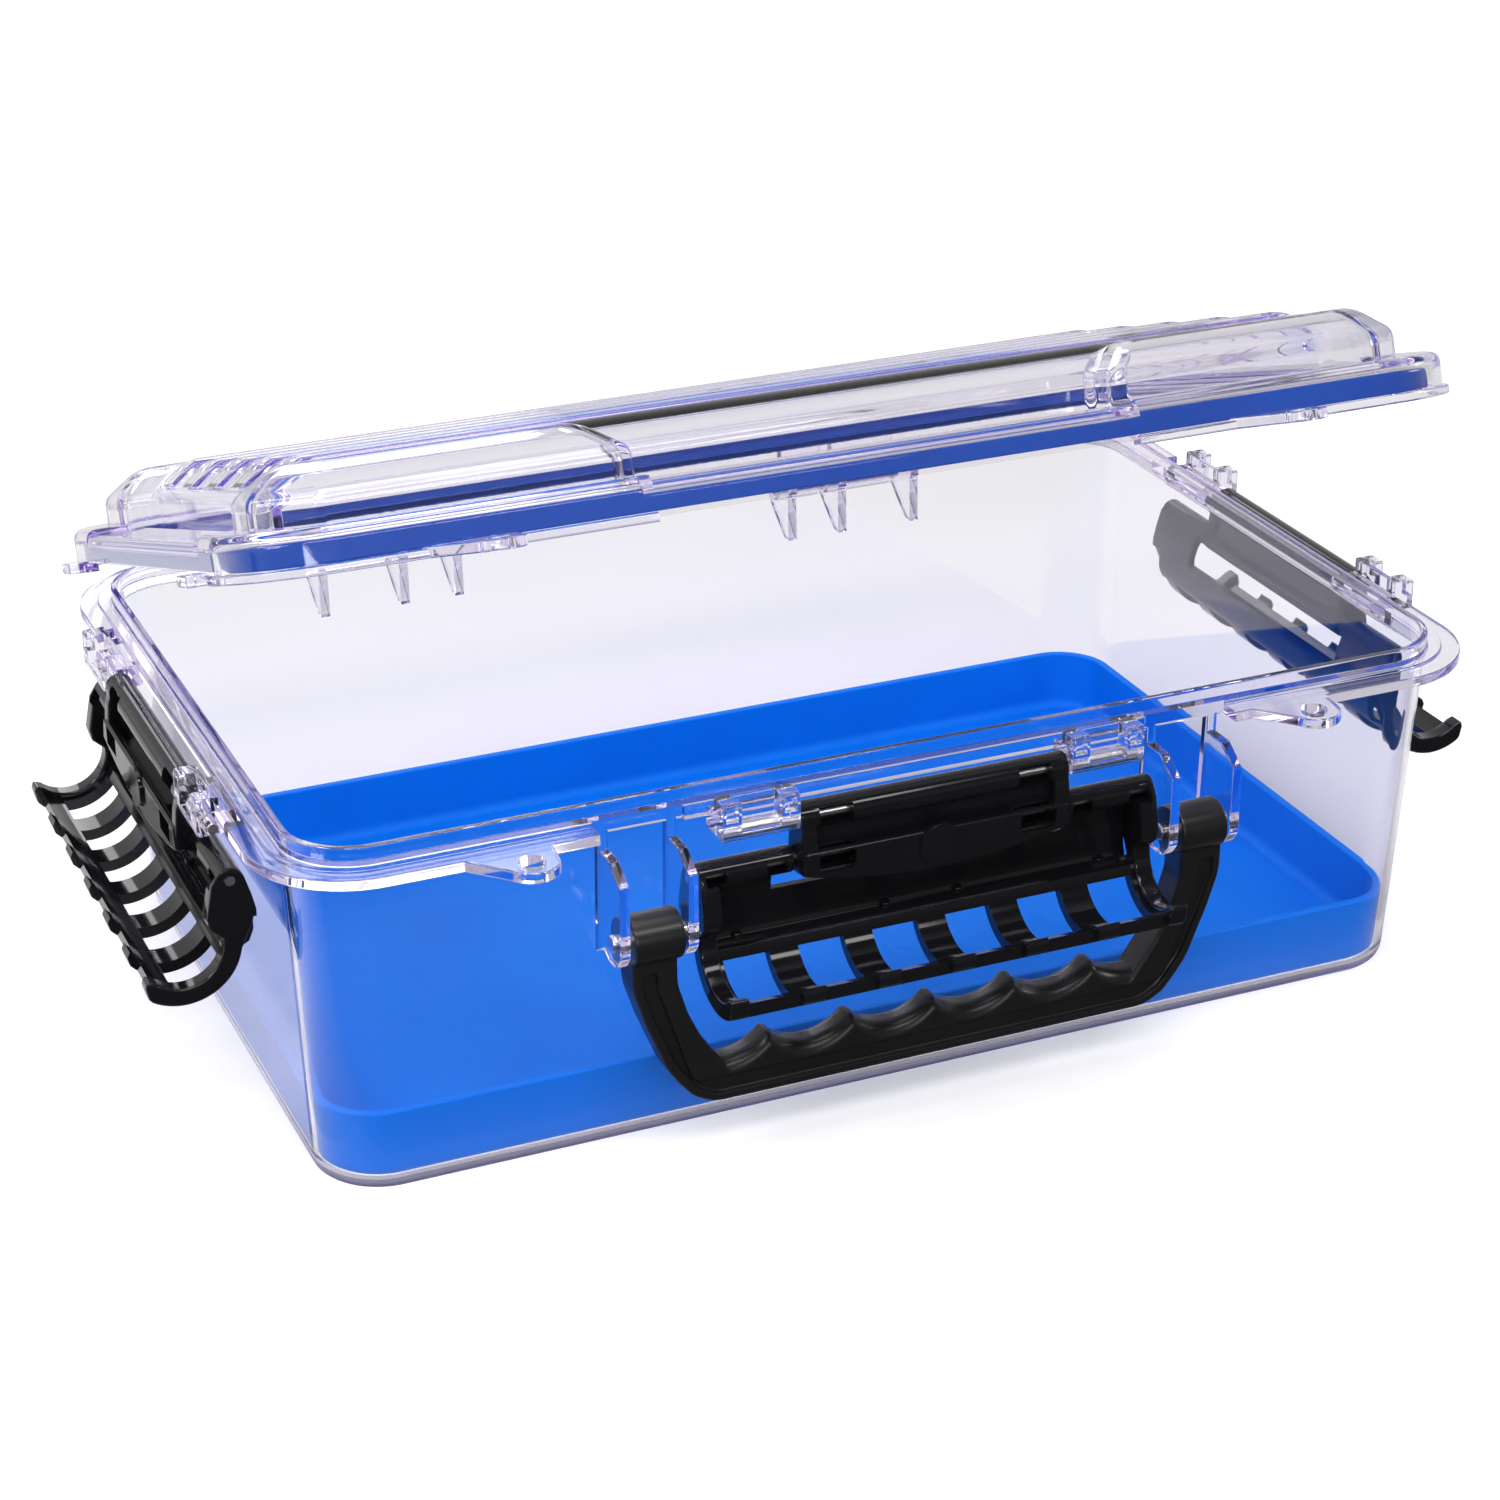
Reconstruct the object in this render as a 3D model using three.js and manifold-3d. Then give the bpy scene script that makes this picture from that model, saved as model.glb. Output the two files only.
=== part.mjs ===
// Waterproof storage case: a clear drafted tub, a clear two-tier lid on a rear hinge, a tray liner,
// a carry handle, and three over-centre latches whose long claws hook over the lid's rim.
// Millimetres. X runs left to right, Y from front to back and Z up. The origin is the middle of the
// tub's underside. The lid stands part open and the latches and the handle hang down.
import * as THREE from 'three';
import { mergeVertices } from 'three/addons/utils/BufferGeometryUtils.js';
import Module from 'manifold-3d';

const wasm = await Module();
wasm.setup();

// Fits
const CLEARANCE = 0.3; // between pieces that touch or turn in each other
const CORNER_STEPS = 5; // facets of a quarter round on the tub and the lid
const BAR_SIDES = 10; // facets round each pin, barrel and bore
const HOOK_STEPS = 5; // facets along each arc of the claw's hook
const FOOT_STEPS = 3; // facets of the rounded foot of the tub and the liner
const OUTSIDE = 20; // reach of a cut past an outer edge

// Rim, which the tub's flange and the lid share
const RIM_LENGTH = 369.2;
const RIM_WIDTH = 236;
const RIM_RADIUS = 29.9;

// Tub
const TUB_HEIGHT = 107.7; // to the top of the sealing lip
const TUB_WALL = 2.2;
const TUB_FLOOR = 2.2;
const LIP_INSET = 9.6; // from the flange edge to the outer face of the lip
const LIP_RISE = 4.5; // lip above the flange
const LEDGE_WIDTH = 4.1; // low step round the lip
const LEDGE_RISE = 0.9;
const FLANGE_THICKNESS = 3.1;
const DRAFT_LENGTH = 4.94; // how far each end wall leans in towards the floor
const DRAFT_WIDTH = 4.48;
const FOOT_RADIUS = 4.5;

// Tray liner
const LINER_HEIGHT = 24.5; // top edge above the tub's underside
const LINER_WALL = 2.6;
const LINER_FOOT_RADIUS = 5;

// Lid
const LID_WALL = 2.4;
const BEAD_WIDTH = 1.7; // bead along the lid's lower edge, proud of the skirt
const BEAD_HEIGHT = 2.6;
const SHELF_HEIGHT = 12.4; // lower tier above the lid's lower edge
const SHELF_RADIUS = 3.5;
const BLOCK_INSET = 12.5; // upper tier, from the rim
const BLOCK_CHAMFER = 15;
const BEVEL_START = 20;
const BEVEL_WIDTH = 10.5;
const PLATEAU_HEIGHT = 28;
const BEVEL_SOFTENING = 1.6; // short facets that round both edges of the bevel
const RIDGE_COUNT = 5; // stiffening ridges on the plateau
const RIDGE_PITCH = 31;
const RIDGE_WIDTH = 12;
const RIDGE_HEIGHT = 1.3;
const LID_REST_ANGLE = 19.09; // how far the lid stands open
const CATCH_HEIGHT = 10.8; // rim that the claws hook over
const CATCH_WIDTH = 18; // from the skirt to the back of that rim
const FRONT_RELIEF = 1.3; // how far the skirt's edge is cut back over the front latch
const END_RELIEF = 2.8; // and over the end latches, whose claws swing past the part-open lid
const GROOVE_HEIGHT = 7.5; // floor of the groove behind the rim
const RECESS_INSET = 24.6; // wall of the latch recess, from the rim
const TAB_WIDTH = 11; // tabs on the end edges beside the latches
const TAB_REACH = 4.4;
const TAB_THICKNESS = 3.2;

// Seal
const SEAL_OUTER_GAP = 2.2; // from the inside of the skirt to the seal
const SEAL_LEG = 2.3;
const SEAL_DROP = 2; // outer leg below the flat of the seal
const SEAL_RISE = 5; // and above its underside
const SEAL_THICKNESS = 2;
const SEAL_RIB = 1.2; // rib that presses on the seal

// Rear hinge
const HINGE_OUT = 4; // pivot behind the flange edge
const HINGE_BELOW = 10.1; // pivot below the top of the flange
const HINGE_PIN_RADIUS = 1.6;
const HINGE_BOSS_RADIUS = 3.7;
const HINGE_GUSSETS = [58.8, 77.1, 103.7]; // middles of the plates on each side
const GUSSET_THICKNESS = 3;
const GUSSET_DROP = 23; // below the top of the flange

// Latches
const LATCH_GAP_MARGIN = 1.8; // gap in the flange beyond each end of the claw
const LATCH_GAP_DEPTH = 5.5;
const LEVER_PIVOT_OUT = 1;
const LEVER_PIVOT_BELOW = 5.2;
const PIN_RADIUS = 1.5;
const LEVER_HALF = 40.5;
const LEVER_BARREL_RADIUS = 4.2;
const CLAW_PIVOT_IN = 2; // claw pin nearer the wall than the lever pin
const CLAW_PIVOT_DROP = 13;
const CLAW_BARREL_RADIUS = 3.8;
const CLAW_HALF = 69.2;
const CLAW_CHEEK = 5.3;
const CLAW_NECK_GAP = 0.9; // between the lever's end and the claw's barrels
const CLAW_ARC_OUT = 14.5; // middle of the hook's arc from the claw pin
const CLAW_ARC_DROP = 18;
const CLAW_ARC_INNER = 11.6;
const CLAW_ARC_OUTER = 16.8;
const CLAW_STRIP = 3.4; // thickness of the hook strips between the cheeks
const CLAW_STRIPS = 7; // counting the two along the cheeks
const CLAW_STRIP_WIDTH = 8.6;
const CLAW_STRIP_PITCH = 22.3;
const CLAW_PLATE = 2.2; // thickness of the plate above the windows
const CLAW_PLATE_BACK = -6.6; // back of that plate from the claw pin
const CLAW_PLATE_TOP = -10.8; // edge that swings past the lever's crescent
const CLAW_CUTOUT_MARGIN = 4.5; // plate cut down beyond each end of the lever
const CLAW_WINDOW_TOP = -25.4; // under the rounded rail
const CRESCENT_HALF = 41;
const CRESCENT_DROP = 21.1; // lowest point below the lever pin
const CRESCENT_THICKNESS = 2.4;
const DISC_RADIUS = 6.2;
const DISC_HEIGHT = 1;
const NOTCH_FROM = 25; // notches that show the pins
const NOTCH_TO = 35;
const LUG_RISE = 4.4; // above the flange
const LUG_DROP = 6.7; // below the top of the flange
const LUG_OUT = 5.7;
const LUG_POST = 5.4; // each end post of a lug
const LUG_LEDGE = 2.2; // height of the ledge between the posts
const LUG_BACK = 0.4; // front of the wall behind that ledge, from the flange edge
const LUG_BOSS_RADIUS = 3.2; // half-round boss over the pin, on the ledge
const LUG_WINDOW_DEPTH = 2.6;

// Carry handle
const HANDLE_MARGIN = 20.8; // outer side of each arm beyond the claw's end
const HANDLE_ARM = 13;
const HANDLE_THICKNESS = 10.6;
const HANDLE_PIVOT_OUT = 2;
const HANDLE_PIVOT_Z = 71.5;
const HANDLE_EYE_RADIUS = 7.2;
const HANDLE_PIN_RADIUS = 2.2;
const HANDLE_BOTTOM = 53.2; // pivot to the underside of the grip
const GRIP_DEPTH = 17.7; // height of the grip at its finger cusps
const FINGER_COUNT = 5;
const FINGER_PITCH = 25;
const FINGER_DEPTH = 5.5;
const HANDLE_BORDER = 2.6;
const HANDLE_PANEL_DEPTH = 1.5;
const RIB_THICKNESS = 3;
const RIB_GAP = 1.1; // between the handle's arm and each rib
const RIB_OUT = 8; // front edge from the flange edge
const RIB_BOSS_RADIUS = 5.6;
const RIB_NOTCH = 7; // how far the flange is cut back between the ribs

// Padlock eyelets
const EYELET_X = 117.5;
const EYELET_OUT = 6.6;
const EYELET_RADIUS = 7.6;
const EYELET_HOLE = 3.7;
const EYELET_RAMP = 11;

// Sizes that follow from the ones above
const HALF_LENGTH = RIM_LENGTH / 2;
const HALF_WIDTH = RIM_WIDTH / 2;
const FLANGE_TOP = TUB_HEIGHT - LIP_RISE;
const FLANGE_BOTTOM = FLANGE_TOP - FLANGE_THICKNESS;
const LID_SEAM = FLANGE_TOP + CLEARANCE; // height of the closed lid's lower edge
const SEAL_INSET = BEAD_WIDTH + LID_WALL + SEAL_OUTER_GAP;
const SEAL_BASE = LIP_RISE; // flat of the seal in the lid's heights
const HINGE_Y = HALF_WIDTH + HINGE_OUT;
const HINGE_Z = FLANGE_TOP - HINGE_BELOW;
const LEVER_PIVOT_Z = FLANGE_TOP - LEVER_PIVOT_BELOW;
const CLAW_PIVOT_OUT = LEVER_PIVOT_OUT - CLAW_PIVOT_IN;
const CLAW_PIVOT_Z = LEVER_PIVOT_Z - CLAW_PIVOT_DROP;
const LATCH_GAP_HALF = CLAW_HALF + LATCH_GAP_MARGIN;
const CLAW_INNER = CLAW_HALF - CLAW_CHEEK; // inner face of each cheek
const LUG_FROM = LEVER_HALF + CLEARANCE + 0.2;
const LUG_TO = CLAW_INNER - CLEARANCE - 0.2;
const LUG_FOOT = FLANGE_TOP - LUG_DROP;
const LUG_CROWN = FLANGE_TOP + LUG_RISE;
const HANDLE_HALF = CLAW_HALF + HANDLE_MARGIN;
const RIB_OUTER = HANDLE_HALF + RIB_GAP;
const RIB_INNER = HANDLE_HALF - HANDLE_ARM - RIB_GAP - 1.4 - RIB_THICKNESS;
const HINGE_REACH = HINGE_GUSSETS[2] + GUSSET_THICKNESS; // past the outer end of each hinge pin
const SIDES = [
  { name: 'front', turn: 0, edge: HALF_WIDTH, relief: FRONT_RELIEF },
  { name: 'left', turn: -Math.PI / 2, edge: HALF_LENGTH, relief: END_RELIEF },
  { name: 'right', turn: Math.PI / 2, edge: HALF_LENGTH, relief: END_RELIEF },
];

const CLEAR = { color: 0xeceaf4, roughness: 0.08, metalness: 0, transparent: true, opacity: 0.35 };
const BLACK = { color: 0x101012, roughness: 0.22, metalness: 0 };
const SATIN = { color: 0x151516, roughness: 0.45, metalness: 0 };
const STEEL = { color: 0xb9b9bd, roughness: 0.3, metalness: 1 };
const TRAY_BLUE = { color: 0x0a6fe0, roughness: 0.5, metalness: 0 };
const SEAL_BLUE = { color: 0x0c3fb4, roughness: 0.6, metalness: 0 };

const radians = THREE.MathUtils.degToRad;

// Points of an arc, from one angle to another in degrees.
function arc(x, y, radius, from, to, steps) {
  return Array.from({ length: steps + 1 }, (_, i) => {
    const angle = radians(from + ((to - from) * i) / steps);
    return [x + radius * Math.cos(angle), y + radius * Math.sin(angle)];
  });
}

// Outline of a rectangle with round corners, as many points for every size.
function roundedOutline(halfX, halfY, radius) {
  const corners = [[1, 1], [-1, 1], [-1, -1], [1, -1]];
  return corners.flatMap(([sx, sy], i) =>
    arc(sx * (halfX - radius), sy * (halfY - radius), radius, 90 * i, 90 * i + 90, CORNER_STEPS));
}

// Moves the sides of a counter-clockwise outline inwards.
function offsetOutline(points, inset) {
  const normal = (from, to) => {
    const length = Math.hypot(to[0] - from[0], to[1] - from[1]);
    return [(from[1] - to[1]) / length, (to[0] - from[0]) / length];
  };
  return points.map((point, i) => {
    const before = normal(points.at(i - 1), point);
    const after = normal(point, points[(i + 1) % points.length]);
    const reach = inset / (1 + before[0] * after[0] + before[1] * after[1]);
    return [point[0] + reach * (before[0] + after[0]), point[1] + reach * (before[1] + after[1])];
  });
}

// A solid skinned over outlines with equal counts of points, one above the other.
function loft(rings) {
  const count = rings[0].outline.length;
  const positions = rings.flatMap(({ outline, z }) => outline.flatMap(([x, y]) => [x, y, z]));
  const index = [];
  for (let ring = 0; ring < rings.length - 1; ring++) {
    for (let i = 0; i < count; i++) {
      const a = ring * count + i;
      const b = ring * count + ((i + 1) % count);
      index.push(a, b, b + count, a, b + count, a + count);
    }
  }
  const capOf = ({ outline }) =>
    THREE.ShapeUtils.triangulateShape(outline.map(([x, y]) => new THREE.Vector2(x, y)), []);
  const last = (rings.length - 1) * count;
  for (const [a, b, c] of capOf(rings[0])) index.push(a, c, b);
  for (const [a, b, c] of capOf(rings.at(-1))) index.push(last + a, last + b, last + c);
  const geometry = new THREE.BufferGeometry();
  geometry.setAttribute('position', new THREE.Float32BufferAttribute(positions, 3));
  return geometry.setIndex(index);
}

// A section in (outward, up) drawn out along X. Outward is -Y, or +Y on the rear side.
function prism(section, from, to, outward = -1) {
  const shape = new THREE.Shape(section.map(([out, up]) => new THREE.Vector2(outward * out, up)));
  const geometry = new THREE.ExtrudeGeometry(shape, { depth: to - from, bevelEnabled: false });
  const axes = new THREE.Matrix4().makeBasis(
    new THREE.Vector3(0, 1, 0), new THREE.Vector3(0, 0, 1), new THREE.Vector3(1, 0, 0));
  return geometry.applyMatrix4(axes).translate(from, 0, 0);
}

// An outline in (x, z) drawn out along outward -Y.
function slab(outline, from, to) {
  const shape = new THREE.Shape(outline.map(([x, z]) => new THREE.Vector2(x, z)));
  const geometry = new THREE.ExtrudeGeometry(shape, { depth: to - from, bevelEnabled: false });
  const axes = new THREE.Matrix4().makeBasis(
    new THREE.Vector3(1, 0, 0), new THREE.Vector3(0, 0, 1), new THREE.Vector3(0, -1, 0));
  return geometry.applyMatrix4(axes).translate(0, -from, 0);
}

// An outline in plan drawn up from one height to another.
function plate(outline, from, to) {
  return loft([{ outline, z: from }, { outline, z: to }]);
}

// A round bar along X, its middle at (outward, up).
function rod(radius, from, to, out = 0, up = 0, outward = -1) {
  return new THREE.CylinderGeometry(radius, radius, to - from, BAR_SIDES)
    .rotateZ(Math.PI / 2)
    .translate((from + to) / 2, outward * out, up);
}

function box(x, out, up) {
  return prism([[out[0], up[0]], [out[1], up[0]], [out[1], up[1]], [out[0], up[1]]], x[0], x[1]);
}

function solid(geometry) {
  const bare = geometry.clone().deleteAttribute('normal').deleteAttribute('uv');
  const merged = mergeVertices(bare, 1e-4);
  return new wasm.Manifold(new wasm.Mesh({
    numProp: 3,
    vertProperties: merged.attributes.position.array,
    triVerts: new Uint32Array(merged.index.array),
  }));
}

const join = (geometries) => geometries.map(solid).reduce((all, next) => all.add(next));
const cut = (body, geometries) => geometries.map(solid).reduce((left, tool) => left.subtract(tool), body);

function toGeometry(body) {
  const mesh = body.getMesh();
  const geometry = new THREE.BufferGeometry();
  geometry.setAttribute('position', new THREE.BufferAttribute(mesh.vertProperties, 3));
  geometry.setIndex(new THREE.BufferAttribute(mesh.triVerts, 1));
  geometry.computeVertexNormals();
  return geometry;
}

function piece(name, body, finish) {
  const mesh = new THREE.Mesh(toGeometry(body), new THREE.MeshStandardMaterial(finish));
  mesh.name = name;
  return mesh;
}

// The same range of X on the right and mirrored on the left.
const mirrored = (make, from, to) => [make(from, to), make(-to, -from)];

// Places a geometry made for the front edge on one of the three latched sides.
function onSide(geometry, side) {
  const turn = new THREE.Matrix4().makeRotationZ(side.turn);
  return geometry.clone().translate(0, -side.edge, 0).applyMatrix4(turn);
}

const rimOutline = (inset) =>
  roundedOutline(HALF_LENGTH - inset, HALF_WIDTH - inset, RIM_RADIUS - inset);

// The tub's outer wall at a height, moved in by an inset.
function wallOutline(z, inset) {
  const lean = 1 - z / TUB_HEIGHT;
  const halfX = HALF_LENGTH - LIP_INSET - DRAFT_LENGTH * lean - inset;
  const halfY = HALF_WIDTH - LIP_INSET - DRAFT_WIDTH * lean - inset;
  return roundedOutline(halfX, halfY, RIM_RADIUS - LIP_INSET - inset);
}

// A drafted box with a rounded foot, from one height to another.
function draftedBox(inset, bottom, top, footRadius) {
  const foot = arc(footRadius, bottom + footRadius, footRadius, 270, 180, FOOT_STEPS);
  const rings = foot.map(([extra, z]) => ({ outline: wallOutline(z, inset + extra), z }));
  return loft([...rings, { outline: wallOutline(top, inset), z: top }]);
}

// An eyelet that stands out from the front edge, ramped on its left.
function eyelet(x, from, to) {
  const reach = -HALF_WIDTH - EYELET_OUT;
  const root = -HALF_WIDTH + 3;
  const outline = [
    [x - EYELET_RADIUS - EYELET_RAMP, root],
    [x - EYELET_RADIUS - 0.7 * EYELET_RAMP, -HALF_WIDTH - 1],
    ...arc(x, reach, EYELET_RADIUS, 205, 360, 7),
    [x + EYELET_RADIUS + 1, root],
  ];
  return plate(outline, from, to);
}

const eyeletHole = (x, from, to) =>
  plate(arc(x, -HALF_WIDTH - EYELET_OUT, EYELET_HOLE, 0, 324, 9), from, to);

// One of the plates that carry the handle's pins.
function handleRib(from, to) {
  const wall = -LIP_INSET - 1;
  const section = [
    [wall, FLANGE_BOTTOM + 1],
    [wall - 1, HANDLE_PIVOT_Z - 9],
    [HANDLE_PIVOT_OUT - RIB_BOSS_RADIUS - 2.4, HANDLE_PIVOT_Z - 3],
    ...arc(HANDLE_PIVOT_OUT, HANDLE_PIVOT_Z, RIB_BOSS_RADIUS, 220, 350, 6),
    [RIB_OUT, HANDLE_PIVOT_Z + 4],
    [RIB_OUT, FLANGE_BOTTOM - 10],
    [RIB_OUT - 7.5, FLANGE_BOTTOM - 5],
    [-RIB_NOTCH, FLANGE_BOTTOM - 5],
    [-RIB_NOTCH, FLANGE_BOTTOM + 1],
  ];
  return prism(section, from, to).translate(0, -HALF_WIDTH, 0);
}

// Gusset on the rear wall that carries a hinge pin.
function hingeGusset(from, to) {
  const foot = FLANGE_TOP - GUSSET_DROP;
  const wall = HALF_WIDTH - LIP_INSET - 2.4;
  const section = [
    [wall, FLANGE_BOTTOM + 1],
    [wall, foot],
    [wall + 5, foot],
    ...arc(HINGE_Y, HINGE_Z, HINGE_BOSS_RADIUS, 305, 405, 4),
    [HALF_WIDTH, FLANGE_BOTTOM + 1],
  ];
  return prism(section, from, to, 1);
}

// Block that a latch lever's pin runs through; its front is opened up by lugPockets.
function lug(from, to) {
  const back = -LATCH_GAP_DEPTH - 1;
  const front = LUG_OUT;
  const lidFace = -BEAD_WIDTH + 0.7;
  const section = [
    [back, FLANGE_TOP], [back, LUG_FOOT + 2], [back + 2.4, LUG_FOOT],
    [front - 1, LUG_FOOT], [front, LUG_FOOT + 1],
    [front, LUG_CROWN - 1], [front - 1, LUG_CROWN],
    [lidFace, LUG_CROWN], [lidFace, FLANGE_TOP],
  ];
  return prism(section, from, to);
}

// Open front of a lug: the space between its end posts and a window in each post.
function lugPockets(from, to) {
  const before = LUG_OUT + 1;
  const deep = [LUG_OUT - LUG_WINDOW_DEPTH, before];
  const window = (start) =>
    box([start + 1, start + LUG_POST - 1], deep, [FLANGE_TOP - 0.8, LUG_CROWN - 1.2]);
  return [
    box([from + LUG_POST, to - LUG_POST], [LUG_BACK, before], [LUG_FOOT + LUG_LEDGE, LUG_CROWN + 1]),
    window(from),
    window(to - LUG_POST),
  ];
}

// Half-round boss between a lug's end posts.
function lugBoss(from, to) {
  const [out, up] = [LEVER_PIVOT_OUT, LEVER_PIVOT_Z];
  const section = [
    ...arc(out, up, LUG_BOSS_RADIUS, 0, 180, 6),
    [out - LUG_BOSS_RADIUS, LUG_FOOT + 0.5], [out + LUG_BOSS_RADIUS, LUG_FOOT + 0.5],
  ];
  return prism(section, from + LUG_POST - 0.5, to - LUG_POST + 0.5);
}

function tubBody() {
  const shell = join([
    draftedBox(0, 0, TUB_HEIGHT, FOOT_RADIUS),
    plate(rimOutline(0), FLANGE_BOTTOM, FLANGE_TOP),
    plate(rimOutline(LIP_INSET - LEDGE_WIDTH), FLANGE_BOTTOM, FLANGE_TOP + LEDGE_RISE),
  ]);
  const inside = draftedBox(TUB_WALL, TUB_FLOOR, TUB_HEIGHT + 1, FOOT_RADIUS - TUB_WALL + 2);
  const above = [FLANGE_BOTTOM - 1, FLANGE_TOP + LEDGE_RISE + 1];
  const gaps = SIDES.map((side) =>
    onSide(box([-LATCH_GAP_HALF, LATCH_GAP_HALF], [-LATCH_GAP_DEPTH, OUTSIDE], above), side));
  const ribGap = (from, to) => box([from, to], [HALF_WIDTH - RIB_NOTCH, HALF_WIDTH + OUTSIDE], above);
  const ribGaps = mirrored(ribGap, LATCH_GAP_HALF - 1, RIB_OUTER + RIB_THICKNESS + 2);
  const ribs = [RIB_INNER, RIB_OUTER].flatMap((x) => mirrored(handleRib, x, x + RIB_THICKNESS));
  const half = GUSSET_THICKNESS / 2;
  const gussets = HINGE_GUSSETS.flatMap((x) => mirrored(hingeGusset, x - half, x + half));
  const eyelets = [-EYELET_X, EYELET_X].map((x) => eyelet(x, FLANGE_BOTTOM, FLANGE_TOP));
  const onLatches = (make, from, to) => SIDES.flatMap((side) => [
    ...[make(from, to)].flat(), ...[make(-to, -from)].flat(),
  ].map((made) => onSide(made, side)));
  const lugs = cut(join(onLatches(lug, LUG_FROM, LUG_TO)), onLatches(lugPockets, LUG_FROM, LUG_TO));
  const bosses = join(onLatches(lugBoss, LUG_FROM, LUG_TO));
  const trims = join([...ribs, ...gussets, ...eyelets]).add(lugs).add(bosses);
  return cut(cut(shell, [inside, ...gaps, ...ribGaps]).add(trims), tubHoles());
}

// Bores for all the pins that the tub holds, and the eyelet holes.
function tubHoles() {
  const bore = PIN_RADIUS + CLEARANCE;
  const far = LUG_TO + 1;
  const pinBore = rod(bore, -far, far, LEVER_PIVOT_OUT, LEVER_PIVOT_Z);
  const latchHoles = SIDES.map((side) => onSide(pinBore, side));
  const handleBore = (from, to) =>
    rod(HANDLE_PIN_RADIUS + CLEARANCE, from, to, HALF_WIDTH + HANDLE_PIVOT_OUT, HANDLE_PIVOT_Z);
  const hingeBore = rod(HINGE_PIN_RADIUS + CLEARANCE, -HINGE_REACH, HINGE_REACH, HINGE_Y, HINGE_Z, 1);
  const eyelets = [-EYELET_X, EYELET_X].map((x) => eyeletHole(x, FLANGE_BOTTOM - 1, FLANGE_TOP + 1));
  return [...latchHoles, ...mirrored(handleBore, RIB_INNER - 1, RIB_OUTER + 6), hingeBore, ...eyelets];
}

function linerBody() {
  const bottom = TUB_FLOOR + CLEARANCE;
  const inset = TUB_WALL + CLEARANCE;
  const outside = solid(draftedBox(inset, bottom, LINER_HEIGHT, LINER_FOOT_RADIUS));
  const wall = LINER_WALL;
  const radius = LINER_FOOT_RADIUS - wall + 1;
  return cut(outside, [draftedBox(inset + wall, bottom + wall, LINER_HEIGHT + 1, radius)]);
}

// Inset and height along the bevel of the lid's upper tier, moved in by a wall.
function bevelProfile(wall) {
  const slope = Math.atan2(PLATEAU_HEIGHT - BEVEL_START, BEVEL_WIDTH);
  const low = [wall, BEVEL_START - wall * Math.tan((Math.PI / 2 - slope) / 2)];
  const high = [BEVEL_WIDTH + wall * Math.tan(slope / 2), PLATEAU_HEIGHT - wall];
  const across = BEVEL_SOFTENING * Math.cos(slope);
  const up = BEVEL_SOFTENING * Math.sin(slope);
  return [
    [low[0], low[1] - BEVEL_SOFTENING], [low[0] + across, low[1] + up],
    [high[0] - across, high[1] - up], [high[0] + BEVEL_SOFTENING, high[1]],
  ];
}

// Plan of the lid's upper tier, with chamfered corners.
function blockPlan() {
  const [x, y] = [HALF_LENGTH - BLOCK_INSET, HALF_WIDTH - BLOCK_INSET];
  const [cornerX, cornerY] = [x - BLOCK_CHAMFER, y - BLOCK_CHAMFER];
  return [
    [-cornerX, -y], [cornerX, -y], [x, -cornerY], [x, cornerY],
    [cornerX, y], [-cornerX, y], [-x, cornerY], [-x, -cornerY],
  ];
}

// Recess in the upper tier at a latch, which widens upwards with the tier's bevel.
function blockRecess(wall, bottom) {
  const outline = (inset) => {
    const [half, back] = [LATCH_GAP_HALF + inset, RECESS_INSET + inset];
    return [[-half, -OUTSIDE], [half, -OUTSIDE], [half, back], [-half, back]];
  };
  const rings = bevelProfile(wall).map(([inset, z]) => ({ outline: outline(inset), z }));
  const top = { ...rings.at(-1), z: PLATEAU_HEIGHT + OUTSIDE };
  return loft([{ outline: outline(wall), z: bottom - 1 }, ...rings, top]);
}

// Upper tier of the lid, moved in by a wall thickness, with its three recesses.
function lidBlock(wall, bottom) {
  const outline = (inset) => offsetOutline(blockPlan(), inset);
  const rings = bevelProfile(wall).map(([inset, z]) => ({ outline: outline(inset), z }));
  const block = solid(loft([{ outline: outline(wall), z: bottom }, ...rings]));
  return cut(block, SIDES.map((side) => onSide(blockRecess(wall, bottom), side)));
}

// Solid lower tier of the lid, moved in by a wall.
function lidShelf(wall, bottom) {
  const inset = BEAD_WIDTH + wall;
  const radius = SHELF_RADIUS - 0.5 * wall;
  const round = arc(inset + radius, SHELF_HEIGHT - wall - radius, radius, 180, 90, 3);
  const rings = round.map(([edge, z]) => ({ outline: rimOutline(edge), z }));
  return solid(loft([{ outline: rimOutline(inset), z: bottom }, ...rings]));
}

// Space above the lower tier at a latch: over a rounded catch rim and the groove behind it.
function latchRecess(wall) {
  const skirt = BEAD_WIDTH + wall;
  const crest = CATCH_HEIGHT - wall;
  const back = BEAD_WIDTH + CATCH_WIDTH - wall;
  const section = [
    [-OUTSIDE, crest - 3], [skirt, crest - 3], [skirt + 0.9, crest - 1.1], [skirt + 2.8, crest],
    [back, crest], [back + 0.6, GROOVE_HEIGHT - wall], [RECESS_INSET + wall + 1, GROOVE_HEIGHT - wall],
    [RECESS_INSET + wall + 1, PLATEAU_HEIGHT], [-OUTSIDE, PLATEAU_HEIGHT],
  ];
  const half = LATCH_GAP_HALF + wall;
  return prism(section.map(([inset, z]) => [-inset, z]), -half, half);
}

const withRecesses = (body, wall) => cut(body, SIDES.map((side) => onSide(latchRecess(wall), side)));

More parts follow.
